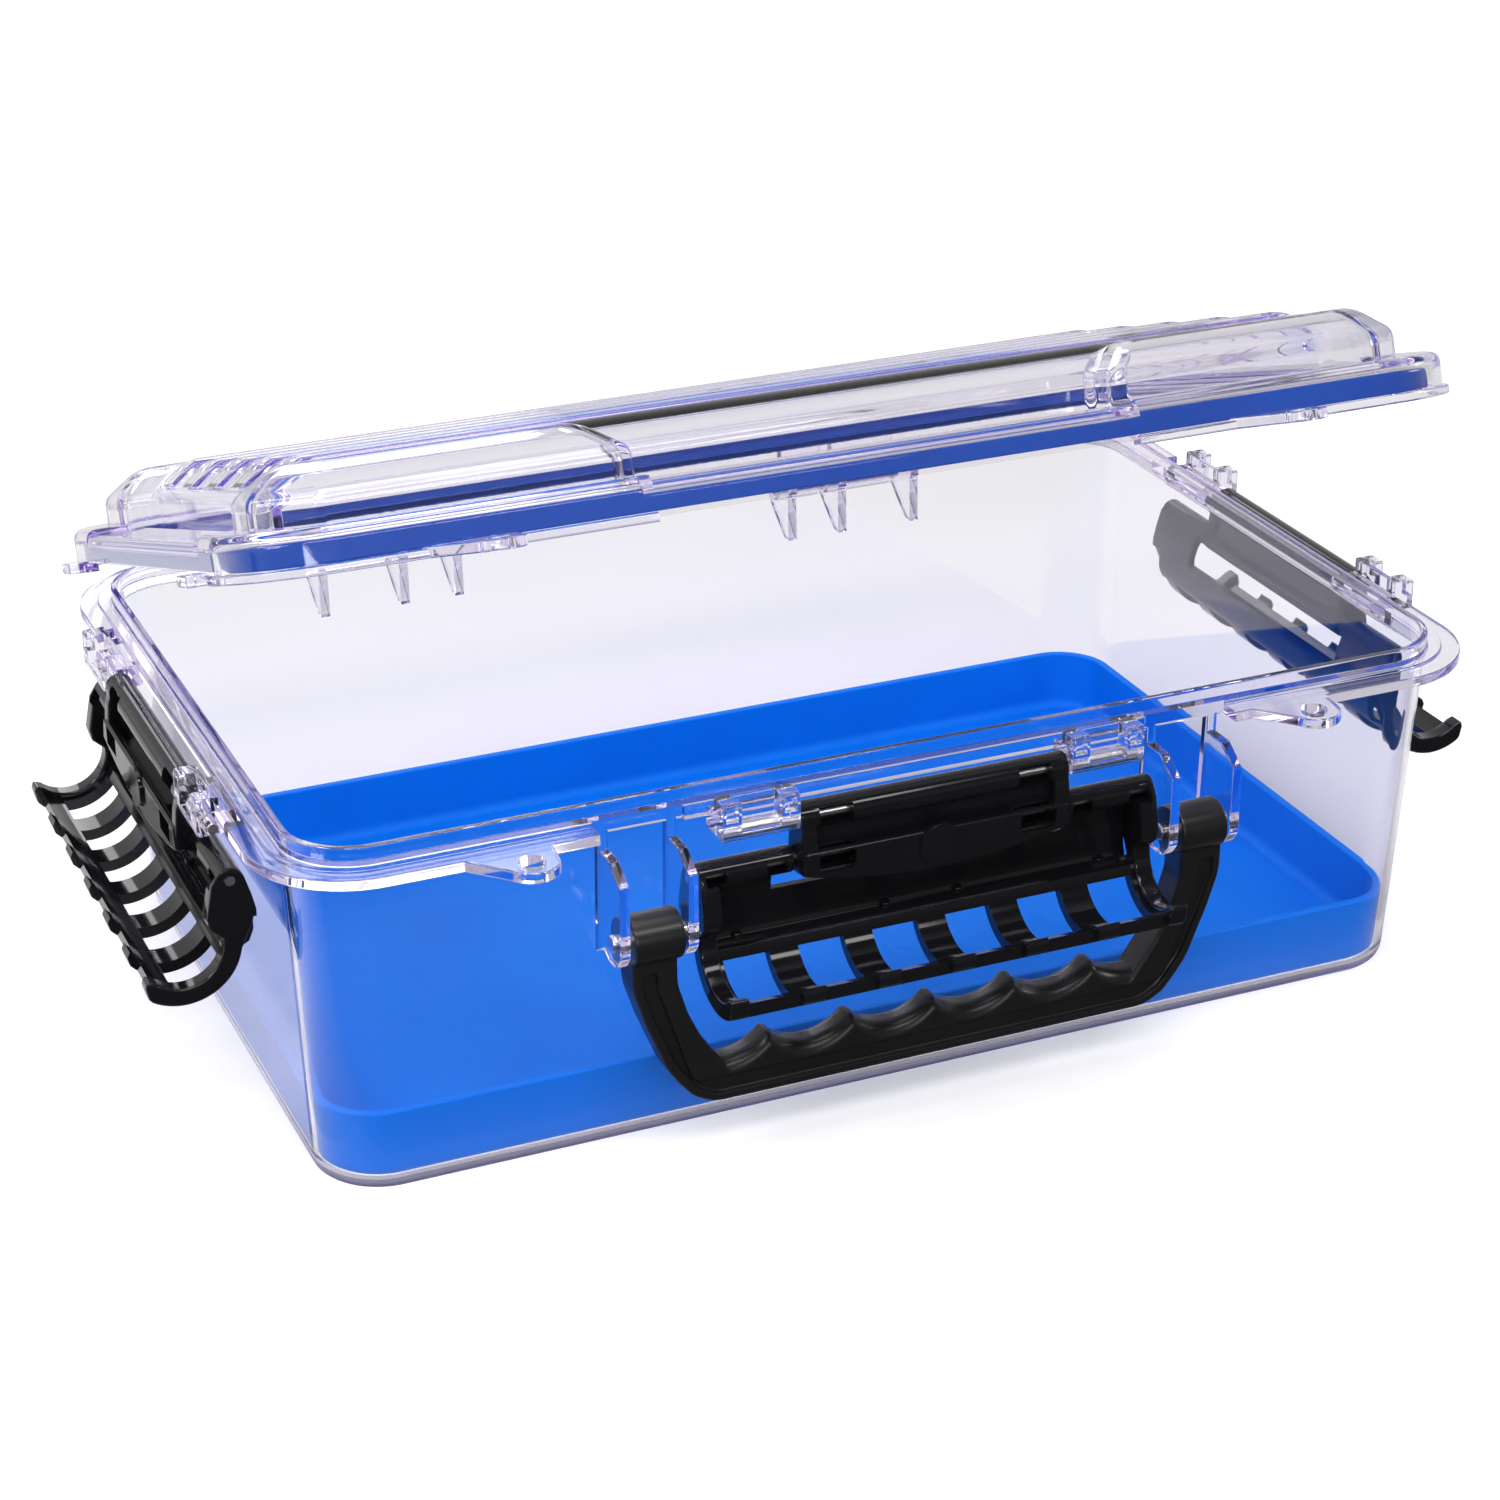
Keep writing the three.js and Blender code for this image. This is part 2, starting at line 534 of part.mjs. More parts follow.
// Ridges that follow the upper tier's plateau and bevels at one height.
function lidRidges() {
  const raised = lidBlock(-RIDGE_HEIGHT, BEVEL_START);
  const low = BEVEL_START + 2;
  const half = RIDGE_WIDTH / 2;
  const bars = Array.from({ length: RIDGE_COUNT }, (_, i) => {
    const y = (i - (RIDGE_COUNT - 1) / 2) * RIDGE_PITCH;
    const round = arc(0, 0, 1, 180, 0, 5)
      .map(([across, up]) => [half * across - y, PLATEAU_HEIGHT + RIDGE_HEIGHT * up]);
    return prism([[-y - half, low], ...round, [-y + half, low]], -HALF_LENGTH, HALF_LENGTH);
  });
  return join(bars).intersect(raised);
}

// A closed band between two insets from the rim.
const band = (outer, inner, from, to) =>
  cut(solid(plate(rimOutline(outer), from, to)), [plate(rimOutline(inner), from - 1, to + 1)]);

// Arm that reaches from the lid's rear skirt round a hinge pin, in the lid's heights.
function hingeArm(from, to) {
  const down = HINGE_Z - LID_SEAM;
  const near = HALF_WIDTH + CLEARANCE;
  const skirt = HALF_WIDTH - BEAD_WIDTH - 0.8;
  const section = [
    [skirt, CLEARANCE], [near, CLEARANCE],
    ...arc(HINGE_Y, down, HINGE_BOSS_RADIUS, 180, 360, 7),
    [HINGE_Y + HINGE_BOSS_RADIUS, down + 6], [HALF_WIDTH - BEAD_WIDTH + 1, 8], [skirt, 8],
  ];
  return prism(section, from, to, 1);
}

// Tabs on the lid's end edges, either side of each end latch.
function edgeTabs() {
  const reach = HALF_LENGTH + TAB_REACH;
  const places = [-LATCH_GAP_HALF - 2 - TAB_WIDTH, LATCH_GAP_HALF + 2];
  const tab = (y) => (from, to) => box([from, to], [-y - TAB_WIDTH, -y], [0, TAB_THICKNESS]);
  return places.flatMap((y) => mirrored(tab(y), HALF_LENGTH - 3, reach));
}

function lidBody() {
  const outside = withRecesses(lidShelf(0, 0), 0).add(lidBlock(0, GROOVE_HEIGHT - 2)).add(lidRidges());
  const inside = withRecesses(lidShelf(LID_WALL, -1), LID_WALL).add(lidBlock(LID_WALL, -1));
  const sealWall = BLOCK_INSET - 0.1;
  const ribInset = SEAL_INSET + SEAL_LEG + 0.3;
  const bands = [
    band(sealWall, BLOCK_INSET + LID_WALL, SEAL_BASE + 0.1, CATCH_HEIGHT - 0.5),
    band(ribInset, ribInset + SEAL_RIB, SEAL_BASE + SEAL_THICKNESS + CLEARANCE, CATCH_HEIGHT - 1),
  ];
  const reliefs = (depth, top) => SIDES.map((side) =>
    onSide(box([-LATCH_GAP_HALF, LATCH_GAP_HALF], [-depth, OUTSIDE], [-1, top(side)]), side));
  const bead = cut(band(0, BEAD_WIDTH + 1, 0, BEAD_HEIGHT), reliefs(BEAD_WIDTH, () => BEAD_HEIGHT + 1));
  const half = GUSSET_THICKNESS / 2 + CLEARANCE;
  const arms = [0, 1].flatMap((i) =>
    mirrored(hingeArm, HINGE_GUSSETS[i] + half, HINGE_GUSSETS[i + 1] - half));
  const eyelets = [-EYELET_X, EYELET_X].map((x) => eyelet(x, 0, FLANGE_THICKNESS));
  const trims = join([...arms, ...eyelets, ...edgeTabs()]);
  const body = bands.reduce((all, next) => all.add(next), outside.subtract(inside)).add(bead).add(trims);
  const bore = HINGE_PIN_RADIUS + CLEARANCE;
  const hingeBore = rod(bore, -HINGE_REACH, HINGE_REACH, HINGE_Y, HINGE_Z - LID_SEAM, 1);
  const holes = [-EYELET_X, EYELET_X].map((x) => eyeletHole(x, -1, FLANGE_THICKNESS + 1));
  return cut(body, [hingeBore, ...holes, ...reliefs(BEAD_WIDTH + LID_WALL + 0.5, (side) => side.relief)]);
}

function sealBody() {
  const inner = BLOCK_INSET - CLEARANCE - 0.1;
  const flat = band(SEAL_INSET, inner, SEAL_BASE, SEAL_BASE + SEAL_THICKNESS);
  const leg = band(SEAL_INSET, SEAL_INSET + SEAL_LEG, SEAL_BASE - SEAL_DROP, SEAL_BASE + SEAL_RISE);
  return withRecesses(flat.add(leg), LID_WALL + CLEARANCE);
}

// Lever of a latch, about its pin: two barrels, a waist between them and a finger crescent.
function leverBody() {
  const b = [-CLAW_PIVOT_IN, -CLAW_PIVOT_DROP];
  const front = 5.2;
  const waist = [[-2.6, 2], [-5, b[1]], [-3.4, b[1] - 3.4], [1.4, b[1] - 3.6], [1.2, 2]];
  const cheek = [
    ...arc(0, 0, LEVER_BARREL_RADIUS, 165, 30, 6), [front - 0.6, -4], [front, b[1] + 2],
    [front - 0.5, b[1] - 3], [-1, b[1] - 4], [-5, b[1] - 2.5], [-5.4, b[1] + 2],
  ];
  const crescent = [
    [-CRESCENT_HALF, b[1] - 2.6], ...lowerCurve(CRESCENT_HALF, b[1] - 2.6, -CRESCENT_DROP),
    [CRESCENT_HALF, b[1] - 2.6], [CRESCENT_HALF - 1.5, b[1] + 4], [1.5 - CRESCENT_HALF, b[1] + 4],
  ];
  const lip = front + 0.6;
  const fairing = [[-1, b[1] - 3.4], [lip - 1, b[1] - 2], [lip - 1, b[1] + 3.6], [-1, b[1] + 3.4]];
  const body = join([
    rod(LEVER_BARREL_RADIUS, -LEVER_HALF, LEVER_HALF),
    rod(CLAW_BARREL_RADIUS + 0.3, -LEVER_HALF, LEVER_HALF, b[0], b[1]),
    prism(waist, -LEVER_HALF, LEVER_HALF),
    ...mirrored((from, to) => prism(cheek, from, to), LEVER_HALF - 4.5, LEVER_HALF),
    slab(crescent, lip - CRESCENT_THICKNESS, lip),
    prism(fairing, 1 - NOTCH_FROM, NOTCH_FROM - 1),
    slab(arc(0, b[1] - 0.4, DISC_RADIUS, 0, 324, 9), lip - 1, lip + DISC_HEIGHT),
  ]);
  const notch = (from, to, out, up) => box([from, to], [out - 0.6, front + 4], [up - 2.9, up + 2.9]);
  const notches = [
    ...mirrored((from, to) => notch(from, to, 0, 0), NOTCH_FROM, NOTCH_TO),
    ...mirrored((from, to) => notch(from, to, b[0], b[1] + 0.5), NOTCH_FROM, NOTCH_TO + 0.8),
  ];
  const bore = PIN_RADIUS + CLEARANCE;
  return cut(body, [
    ...notches,
    rod(bore, -LEVER_HALF - 1, LEVER_HALF + 1),
    rod(bore, -LEVER_HALF - 1, LEVER_HALF + 1, b[0], b[1]),
  ]);
}

// The crescent's lower edge: a shallow arc through both corners and the lowest point.
function lowerCurve(half, corner, lowest) {
  const sag = corner - lowest;
  const radius = (half * half + sag * sag) / (2 * sag);
  const reach = THREE.MathUtils.radToDeg(Math.asin(half / radius));
  return arc(0, lowest + radius, radius, 270 - reach, 270 + reach, 6).slice(1, -1);
}

// Side view of the claw's end cheek, about the claw pin.
function cheekSection() {
  const [x, y] = [CLAW_ARC_OUT, -CLAW_ARC_DROP];
  return [
    ...arc(0, 0, CLAW_BARREL_RADIUS, 30, 170, 5),
    [-5.6, -5], [-6.5, -9.9], [-5.5, -13.5],
    ...arc(x, y, CLAW_ARC_OUTER, 190, 303, HOOK_STEPS),
    [24.5, -31], [25.3, -27.4], [24.6, -25.4],
    ...arc(x, y, CLAW_ARC_INNER, 312, 176, HOOK_STEPS),
    [6.4, -14], [7.2, -10.4], [6.4, -7], [5.2, -1],
  ];
}

// Side view of the hook strips, the rounded rail above their windows and the plate that carries them.
function stripSection() {
  const [x, y] = [CLAW_ARC_OUT, -CLAW_ARC_DROP];
  const front = CLAW_PLATE_BACK + CLAW_PLATE;
  return [
    [CLAW_PLATE_BACK, CLAW_PLATE_TOP], [CLAW_PLATE_BACK, -18], [CLAW_PLATE_BACK + 1.4, -21.4],
    ...arc(x, y, CLAW_ARC_OUTER, 199, 300, HOOK_STEPS),
    [24.4, -31], [25, -28.6], [24.2, -26.9],
    ...arc(x, y, CLAW_ARC_OUTER - CLAW_STRIP, 312, 201, HOOK_STEPS),
    [0.8, -22.3], [-1, -22.2], [-2.4, -21.4], [front, -18.6], [front, CLAW_PLATE_TOP],
  ];
}

// Side view of the walls that join the plate to the claw's barrels.
function bridgeSection() {
  const front = CLAW_PLATE_BACK + CLAW_PLATE;
  return [
    [-CLAW_BARREL_RADIUS, 1], [-5.6, -5], [CLAW_PLATE_BACK, -9.5], [CLAW_PLATE_BACK, CLAW_PLATE_TOP - 1],
    [front, CLAW_PLATE_TOP - 1], [front, -8.5], [-3.4, -5], [-1.4, -1.5], [0, 0],
  ];
}

// Ranges along the claw between neighbouring hook strips, each widened by a margin.
function stripGaps(margin) {
  const half = CLAW_STRIP_WIDTH / 2;
  return Array.from({ length: CLAW_STRIPS - 1 }, (_, i) => {
    const middle = (i - (CLAW_STRIPS - 2) / 2) * CLAW_STRIP_PITCH;
    const reach = CLAW_STRIP_PITCH / 2 - half + margin;
    return [Math.max(middle - reach, -CLAW_INNER), Math.min(middle + reach, CLAW_INNER)];
  });
}

function clawBody() {
  const neck = LEVER_HALF + CLAW_NECK_GAP;
  const cutout = LEVER_HALF + CLAW_CUTOUT_MARGIN;
  const end = CLAW_HALF - 0.1;
  const body = join([
    ...mirrored((from, to) => prism(cheekSection(), from, to), CLAW_INNER, CLAW_HALF),
    prism(stripSection(), -CLAW_INNER - 0.5, CLAW_INNER + 0.5),
    ...mirrored((from, to) => rod(CLAW_BARREL_RADIUS, from, to), neck, end),
    ...mirrored((from, to) => prism(bridgeSection(), from, to), cutout, end),
  ]);
  const top = CLAW_WINDOW_TOP;
  const window = [[-8, top], [8, top], [17.6, top - 6], [17.6, -40], [-8, -40]];
  const tipGap = [[22.6, -20], [28, -20], [28, -40], [22.6, -40]];
  const showPin = (from, to) => box([from, to], [-0.4, 8], [-2.6, 1.4]);
  return cut(body, [
    ...stripGaps(0).map(([from, to]) => prism(window, from, to)),
    ...stripGaps(1).map(([from, to]) => prism(tipGap, from, to)),
    ...mirrored(showPin, neck + 2, neck + 8),
    ...mirrored(showPin, CLAW_HALF - 8, CLAW_HALF - 1.6),
    rod(PIN_RADIUS + CLEARANCE, -CLAW_HALF - 1, CLAW_HALF + 1),
  ]);
}

// Front view of the handle about its pivot: arms, round corners and a grip with finger hollows.
function handleOutline() {
  const inner = HANDLE_HALF - HANDLE_ARM;
  const low = -HANDLE_BOTTOM;
  const outside = [
    [inner, 0], [HANDLE_HALF, 0], [HANDLE_HALF, -14], [HANDLE_HALF - 3.5, -25], [HANDLE_HALF - 9.5, -40],
    [HANDLE_HALF - 12.5, -44.5], [HANDLE_HALF - 17, low + 3.2], [HANDLE_HALF - 23, low],
  ];
  const inside = [[inner - 6.5, -31.5], [inner - 3, -24], [inner, -14]];
  const flip = (points) => points.map(([x, z]) => [-x, z]).reverse();
  return [...outside, ...flip(outside), ...flip(inside), ...gripCurve(), ...inside];
}

// Upper edge of the grip, left to right: a hollow for each finger between cusps.
function gripCurve() {
  const cusp = GRIP_DEPTH - HANDLE_BOTTOM;
  const radius = (FINGER_PITCH * FINGER_PITCH) / (8 * FINGER_DEPTH) + FINGER_DEPTH / 2;
  const reach = THREE.MathUtils.radToDeg(Math.asin(FINGER_PITCH / 2 / radius)) * 0.93;
  return Array.from({ length: FINGER_COUNT }, (_, i) => {
    const x = (i - (FINGER_COUNT - 1) / 2) * FINGER_PITCH;
    return arc(x, cusp - FINGER_DEPTH + radius, radius, 270 - reach, 270 + reach, 6);
  }).flat();
}

function handleBody() {
  const front = HANDLE_THICKNESS / 2 - HANDLE_PIVOT_OUT + 1;
  const back = front - HANDLE_THICKNESS;
  const border = HANDLE_BORDER;
  const low = border - HANDLE_BOTTOM;
  const grip = GRIP_DEPTH - HANDLE_BOTTOM - FINGER_DEPTH - 4;
  const half = HANDLE_HALF;
  const panel = [
    [half - 24, low], [half - 18.5, low + 3], [half - 12, -39], [half - 6, -24],
    [half - border, -14], [half - border, -9], [half - 7, -9], [half - 7, -14], [half - 10.5, -25],
    [half - 17, grip],
  ];
  const pocket = [...panel, ...panel.map(([x, z]) => [-x, z]).reverse()];
  const eye = (from, to) => rod(HANDLE_EYE_RADIUS, from, to);
  const bore = (from, to) => rod(HANDLE_PIN_RADIUS + CLEARANCE, from, to);
  const body = join([
    slab(handleOutline(), back, front),
    ...mirrored(eye, half - HANDLE_ARM - 1.4, half),
  ]);
  return cut(body, [
    slab(pocket, front - HANDLE_PANEL_DEPTH, front + 1),
    ...mirrored(bore, half - HANDLE_ARM - 3, half + 1),
  ]);
}

function place(object, x, y, z) {
  object.position.set(x, y, z);
  return object;
}

const storageCase = new THREE.Group();
storageCase.add(piece('tub', tubBody(), CLEAR), piece('base_liner', linerBody(), TRAY_BLUE));

const lidHinge = place(new THREE.Group(), 0, HINGE_Y, HINGE_Z);
lidHinge.rotation.x = -radians(LID_REST_ANGLE);
for (const mesh of [piece('lid', lidBody(), CLEAR), piece('lid_seal', sealBody(), SEAL_BLUE)]) {
  lidHinge.add(place(mesh, 0, -HINGE_Y, LID_SEAM - HINGE_Z));
}
storageCase.add(lidHinge);

const pastGusset = GUSSET_THICKNESS / 2 + 0.4;
const hingeEnds = [HINGE_GUSSETS[0] - pastGusset, HINGE_GUSSETS[2] + pastGusset];
const handlePinEnds = [RIB_INNER - 0.3, RIB_OUTER + RIB_THICKNESS + 0.5];
for (const [name, sign] of [['left', -1], ['right', 1]]) {
  const [from, to] = sign > 0 ? hingeEnds : hingeEnds.map((x) => -x).reverse();
  const hingePin = piece('hinge_pin_' + name, solid(rod(HINGE_PIN_RADIUS, from, to)), STEEL);
  storageCase.add(place(hingePin, 0, HINGE_Y, HINGE_Z));
  const [start, end] = sign > 0 ? handlePinEnds : handlePinEnds.map((x) => -x).reverse();
  const handlePin = piece('carry_handle_pin_' + name, solid(rod(HANDLE_PIN_RADIUS, start, end)), STEEL);
  storageCase.add(place(handlePin, 0, -HALF_WIDTH - HANDLE_PIVOT_OUT, HANDLE_PIVOT_Z));
}

const handle = piece('carry_handle', handleBody(), SATIN);
storageCase.add(place(handle, 0, -HALF_WIDTH - HANDLE_PIVOT_OUT, HANDLE_PIVOT_Z));

for (const side of SIDES) {
  const latch = new THREE.Group();
  latch.rotation.z = side.turn;
  latch.position.set(side.edge * Math.sin(side.turn), -side.edge * Math.cos(side.turn), 0);
  const lugEnd = LUG_TO - 0.4;
  const leverPin = piece(side.name + '_lever_pin', solid(rod(PIN_RADIUS, -lugEnd, lugEnd)), STEEL);
  const clawPin = piece(side.name + '_claw_pin', solid(rod(PIN_RADIUS, -CLAW_HALF, CLAW_HALF)), STEEL);
  const lever = piece(side.name + '_latch_lever', leverBody(), BLACK);
  const claw = piece(side.name + '_latch_claw', clawBody(), BLACK);
  for (const mesh of [leverPin, lever]) latch.add(place(mesh, 0, -LEVER_PIVOT_OUT, LEVER_PIVOT_Z));
  for (const mesh of [clawPin, claw]) latch.add(place(mesh, 0, -CLAW_PIVOT_OUT, CLAW_PIVOT_Z));
  storageCase.add(latch);
}

export default storageCase;
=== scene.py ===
"""Looks of the waterproof storage case: clear shells, blue tray and seal, black latches and handle."""

import logging
import math
from dataclasses import dataclass
from enum import Enum

import bmesh
import bpy
from mathutils import Matrix, Vector


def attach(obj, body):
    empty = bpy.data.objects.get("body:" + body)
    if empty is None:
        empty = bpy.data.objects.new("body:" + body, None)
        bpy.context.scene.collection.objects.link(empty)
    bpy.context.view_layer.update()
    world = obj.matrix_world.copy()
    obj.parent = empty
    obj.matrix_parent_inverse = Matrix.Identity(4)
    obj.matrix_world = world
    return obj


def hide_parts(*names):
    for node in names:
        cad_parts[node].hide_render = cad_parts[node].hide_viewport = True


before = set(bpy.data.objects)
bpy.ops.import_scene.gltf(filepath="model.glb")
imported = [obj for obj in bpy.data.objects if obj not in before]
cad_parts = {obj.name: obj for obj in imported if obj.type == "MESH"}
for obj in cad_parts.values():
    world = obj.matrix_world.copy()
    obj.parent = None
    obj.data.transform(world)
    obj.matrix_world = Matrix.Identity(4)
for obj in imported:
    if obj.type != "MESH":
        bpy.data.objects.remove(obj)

LOG = logging.getLogger("storage_case")
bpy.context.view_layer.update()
MM = 0.001

# Side of the photograph in pixels.
IMAGE_SIDE = 1500

Colour = tuple[float, float, float]
Point = tuple[float, float, float]
Range = tuple[float, float]
Outline = list[tuple[float, float]]


@dataclass(frozen=True)
class CaseSizes:
    """Main sizes of the case in millimetres, as in the CAD model.

    Attributes:
        half_length: From the middle to the flange's end edges.
        half_width: From the middle to the flange's front and rear edges.
        rim_radius: Radius of the flange's corners in plan.
        flange: Heights of the flange's underside and top.
        tub_height: Top of the sealing lip.
        lip_inset: From the flange's edge in to the lip's outer face.
        draft_length: How far each end wall leans in over the tub's height.
        draft_width: How far the front and rear walls lean in.
        lid_wall: Thickness of the lid.
        lid_skirt: From the flange's edge in to the lid's skirt.
        lid_seam: Height of the lid's lower edge when it is shut.
        lid_angle: How far the lid stands open, in degrees.
        hinge_y: Place of the hinge axis behind the middle.
        hinge_z: Height of the hinge axis.
        hinge_bore: Radius of the hinge pins' bores.
        hinge_reach: How far those bores reach from the middle along X.
        gussets: Places of the hinge's gussets along X, on each half.
        latch_gap: Half the width of the opening that each latch has in rim and lid.
        latch_pin: A latch's lever pin, outward from its edge and up.
        latch_bore: Radius of that pin's bore.
        handle_pin: The handle's pins, outward from the front edge and up.
        handle_bore: Radius of their bores.
        eyelets: Places of the padlock eyelets along X.
        eyelet_out: Middle of their holes, outward from the front edge.
        eyelet_hole: Radius of their holes.
    """

    half_length: float = 184.6
    half_width: float = 118.0
    rim_radius: float = 29.9
    flange: Range = (100.1, 103.2)
    tub_height: float = 107.7
    lip_inset: float = 9.6
    draft_length: float = 4.94
    draft_width: float = 4.48
    lid_wall: float = 2.4
    lid_skirt: float = 1.7
    lid_seam: float = 103.5
    lid_angle: float = 19.09
    hinge_y: float = 122.0
    hinge_z: float = 93.1
    hinge_bore: float = 1.9
    hinge_reach: float = 106.7
    gussets: tuple[float, float, float] = (58.8, 77.1, 103.7)
    latch_gap: float = 71.0
    latch_pin: Range = (1.0, 98.0)
    latch_bore: float = 1.8
    handle_pin: Range = (2.0, 71.5)
    handle_bore: float = 2.5
    eyelets: Range = (-117.5, 117.5)
    eyelet_out: float = 6.6
    eyelet_hole: float = 3.7


SIZES = CaseSizes()

# How far a cutter reaches past the outer face that it opens, in millimetres.
PAST = 20.0


class Side(Enum):
    """The three edges of the case that carry a latch, with the turn from the front edge in degrees."""

    FRONT = ("front", 0.0)
    LEFT = ("left", -90.0)
    RIGHT = ("right", 90.0)

    @property
    def label(self) -> str:
        """Name that this side's nodes start with."""
        return self.value[0]

    @property
    def turn(self) -> Matrix:
        """Rotation that takes the front edge to this side."""
        return Matrix.Rotation(math.radians(self.value[1]), 4, "Z")


# Node helpers


def add_node(tree: bpy.types.NodeTree, kind: str, **settings: object) -> bpy.types.Node:
    """Adds a node and sets its own properties.

    Args:
        tree: The tree that gets the node.
        kind: The node's type name.
        settings: Properties of the node by name.

    Returns:
        The new node.
    """
    node = tree.nodes.new(kind)
    for name, value in settings.items():
        setattr(node, name, value)
    return node


def math_node(tree: bpy.types.NodeTree, operation: str, a: object, b: object = None) -> bpy.types.NodeSocket:
    """Adds a Math node whose inputs are sockets or plain numbers.

    Args:
        tree: The tree that gets the node.
        operation: The Math operation.
        a: First input.
        b: Second input, where the operation has one.

    Returns:
        The node's output socket.
    """
    node = add_node(tree, "ShaderNodeMath", operation=operation)
    for socket, value in zip(node.inputs, (a, b)):
        if isinstance(value, bpy.types.NodeSocket):
            tree.links.new(value, socket)
        elif value is not None:
            socket.default_value = value
    return node.outputs[0]


def ramp_between(
    tree: bpy.types.NodeTree, value: bpy.types.NodeSocket, source: Range, target: Range
) -> bpy.types.NodeSocket:
    """Adds a clamped Map Range node.

    Args:
        tree: The tree that gets the node.
        value: The socket that is mapped.
        source: The range that it comes from.
        target: The range that it goes to.

    Returns:
        The node's output socket.
    """
    node = add_node(tree, "ShaderNodeMapRange")
    tree.links.new(value, node.inputs["Value"])
    for label, number in zip(("From Min", "From Max", "To Min", "To Max"), (*source, *target)):
        node.inputs[label].default_value = number
    return node.outputs["Result"]


def new_group(name: str, inputs: dict[str, float], outputs: tuple[str, ...]) -> bpy.types.NodeTree:
    """Makes an empty shader node group with number inputs and outputs.

    Args:
        name: Name of the group.
        inputs: Name and default of each input.
        outputs: Names of the outputs.

    Returns:
        The group, with its input and output nodes in place.
    """
    group = bpy.data.node_groups.new(name, "ShaderNodeTree")
    for label, default in inputs.items():
        socket = group.interface.new_socket(label, in_out="INPUT", socket_type="NodeSocketFloat")
        socket.default_value = default
    for label in outputs:
        group.interface.new_socket(label, in_out="OUTPUT", socket_type="NodeSocketFloat")
    add_node(group, "NodeGroupInput", name="in")
    add_node(group, "NodeGroupOutput", name="out")
    return group


def object_noise(
    tree: bpy.types.NodeTree, scale: object, detail: float, stretch: Point = (1, 1, 1)
) -> bpy.types.NodeSocket:
    """Adds noise on Object coordinates.

    Args:
        tree: The tree that gets the noise.
        scale: Cycles per metre, as a number or a socket.
        detail: Octaves of the noise.
        stretch: Scale of the coordinates along each axis.

    Returns:
        The noise's value, about 0.5 in the middle.
    """
    place = add_node(tree, "ShaderNodeTexCoord")
    mapping = add_node(tree, "ShaderNodeMapping")
    mapping.inputs["Scale"].default_value = stretch
    noise = add_node(tree, "ShaderNodeTexNoise")
    noise.inputs["Detail"].default_value = detail
    tree.links.new(place.outputs["Object"], mapping.inputs["Vector"])
    tree.links.new(mapping.outputs["Vector"], noise.inputs["Vector"])
    if isinstance(scale, bpy.types.NodeSocket):
        tree.links.new(scale, noise.inputs["Scale"])
    else:
        noise.inputs["Scale"].default_value = scale
    return noise.outputs["Fac"]


def moulded_group() -> bpy.types.NodeTree:
    """Builds the group for a moulded surface: patchy polish and a fine waviness.

    Returns:
        A group that puts out a roughness and a height.
    """
    group = new_group(
        "moulded_surface",
        {"Roughness": 0.2, "Patch": 0.05, "Patch Scale": 40.0, "Grain Scale": 900.0, "Grain": 0.3},
        ("Roughness", "Height"),
    )
    source = group.nodes["in"].outputs
    target = group.nodes["out"].inputs
    patches = math_node(group, "SUBTRACT", object_noise(group, source["Patch Scale"], 3.0), 0.5)
    change = math_node(group, "MULTIPLY", patches, source["Patch"])
    group.links.new(math_node(group, "ADD", source["Roughness"], change), target["Roughness"])
    grain = math_node(group, "MULTIPLY", object_noise(group, source["Grain Scale"], 2.0), source["Grain"])
    waves_per_metre = 25.0
    waves = object_noise(group, waves_per_metre, 1.0)
    group.links.new(math_node(group, "ADD", grain, waves), target["Height"])
    return group


@dataclass(frozen=True)
class Moulding:
    """How a moulded surface varies.

    Attributes:
        roughness: Mean roughness.
        patch: How far the roughness strays.
        grain: Share of fine grain in the height.
        height: Height of the relief in metres.
    """

    roughness: float
    patch: float = 0.05
    grain: float = 0.3
    height: float = 0.00002

    def dress(self, tree: bpy.types.NodeTree, shader: bpy.types.Node) -> None:
        """Feeds a shader's roughness and normal.

        Args:
            tree: The material's tree.
            shader: The Principled shader.
        """
        group = add_node(tree, "ShaderNodeGroup", node_tree=bpy.data.node_groups["moulded_surface"])
        group.inputs["Roughness"].default_value = self.roughness
        group.inputs["Patch"].default_value = self.patch
        group.inputs["Grain"].default_value = self.grain
        bump = add_node(tree, "ShaderNodeBump")
        bump.inputs["Distance"].default_value = self.height
        tree.links.new(group.outputs["Roughness"], shader.inputs["Roughness"])
        tree.links.new(group.outputs["Height"], bump.inputs["Height"])
        tree.links.new(bump.outputs["Normal"], shader.inputs["Normal"])


def new_material(name: str) -> tuple[bpy.types.Material, bpy.types.Node, bpy.types.Node]:
    """Makes a material with a Principled shader.

    Args:
        name: Name of the material.

    Returns:
        The material, its Principled shader and its output node.
    """
    material = bpy.data.materials.new(name)
    material.use_nodes = True
    nodes = material.node_tree.nodes
    shader = next(n for n in nodes if n.type == "BSDF_PRINCIPLED")
    output = next(n for n in nodes if n.type == "OUTPUT_MATERIAL")
    return material, shader, output


def tinted(tree: bpy.types.NodeTree, shader: bpy.types.Node, low: Colour, high: Colour, scale: float) -> None:
    """Feeds a shader's base colour with a slow drift between two colours.

    Args:
        tree: The material's tree.
        shader: The Principled shader.
        low: Colour where the noise is low.
        high: Colour where it is high.
        scale: Cycles per metre.
    """
    mix = add_node(tree, "ShaderNodeMix", data_type="RGBA")
    mix.inputs["A"].default_value = (*low, 1)
    mix.inputs["B"].default_value = (*high, 1)
    tree.links.new(object_noise(tree, scale, 2.0), mix.inputs["Factor"])
    tree.links.new(mix.outputs["Result"], shader.inputs["Base Color"])


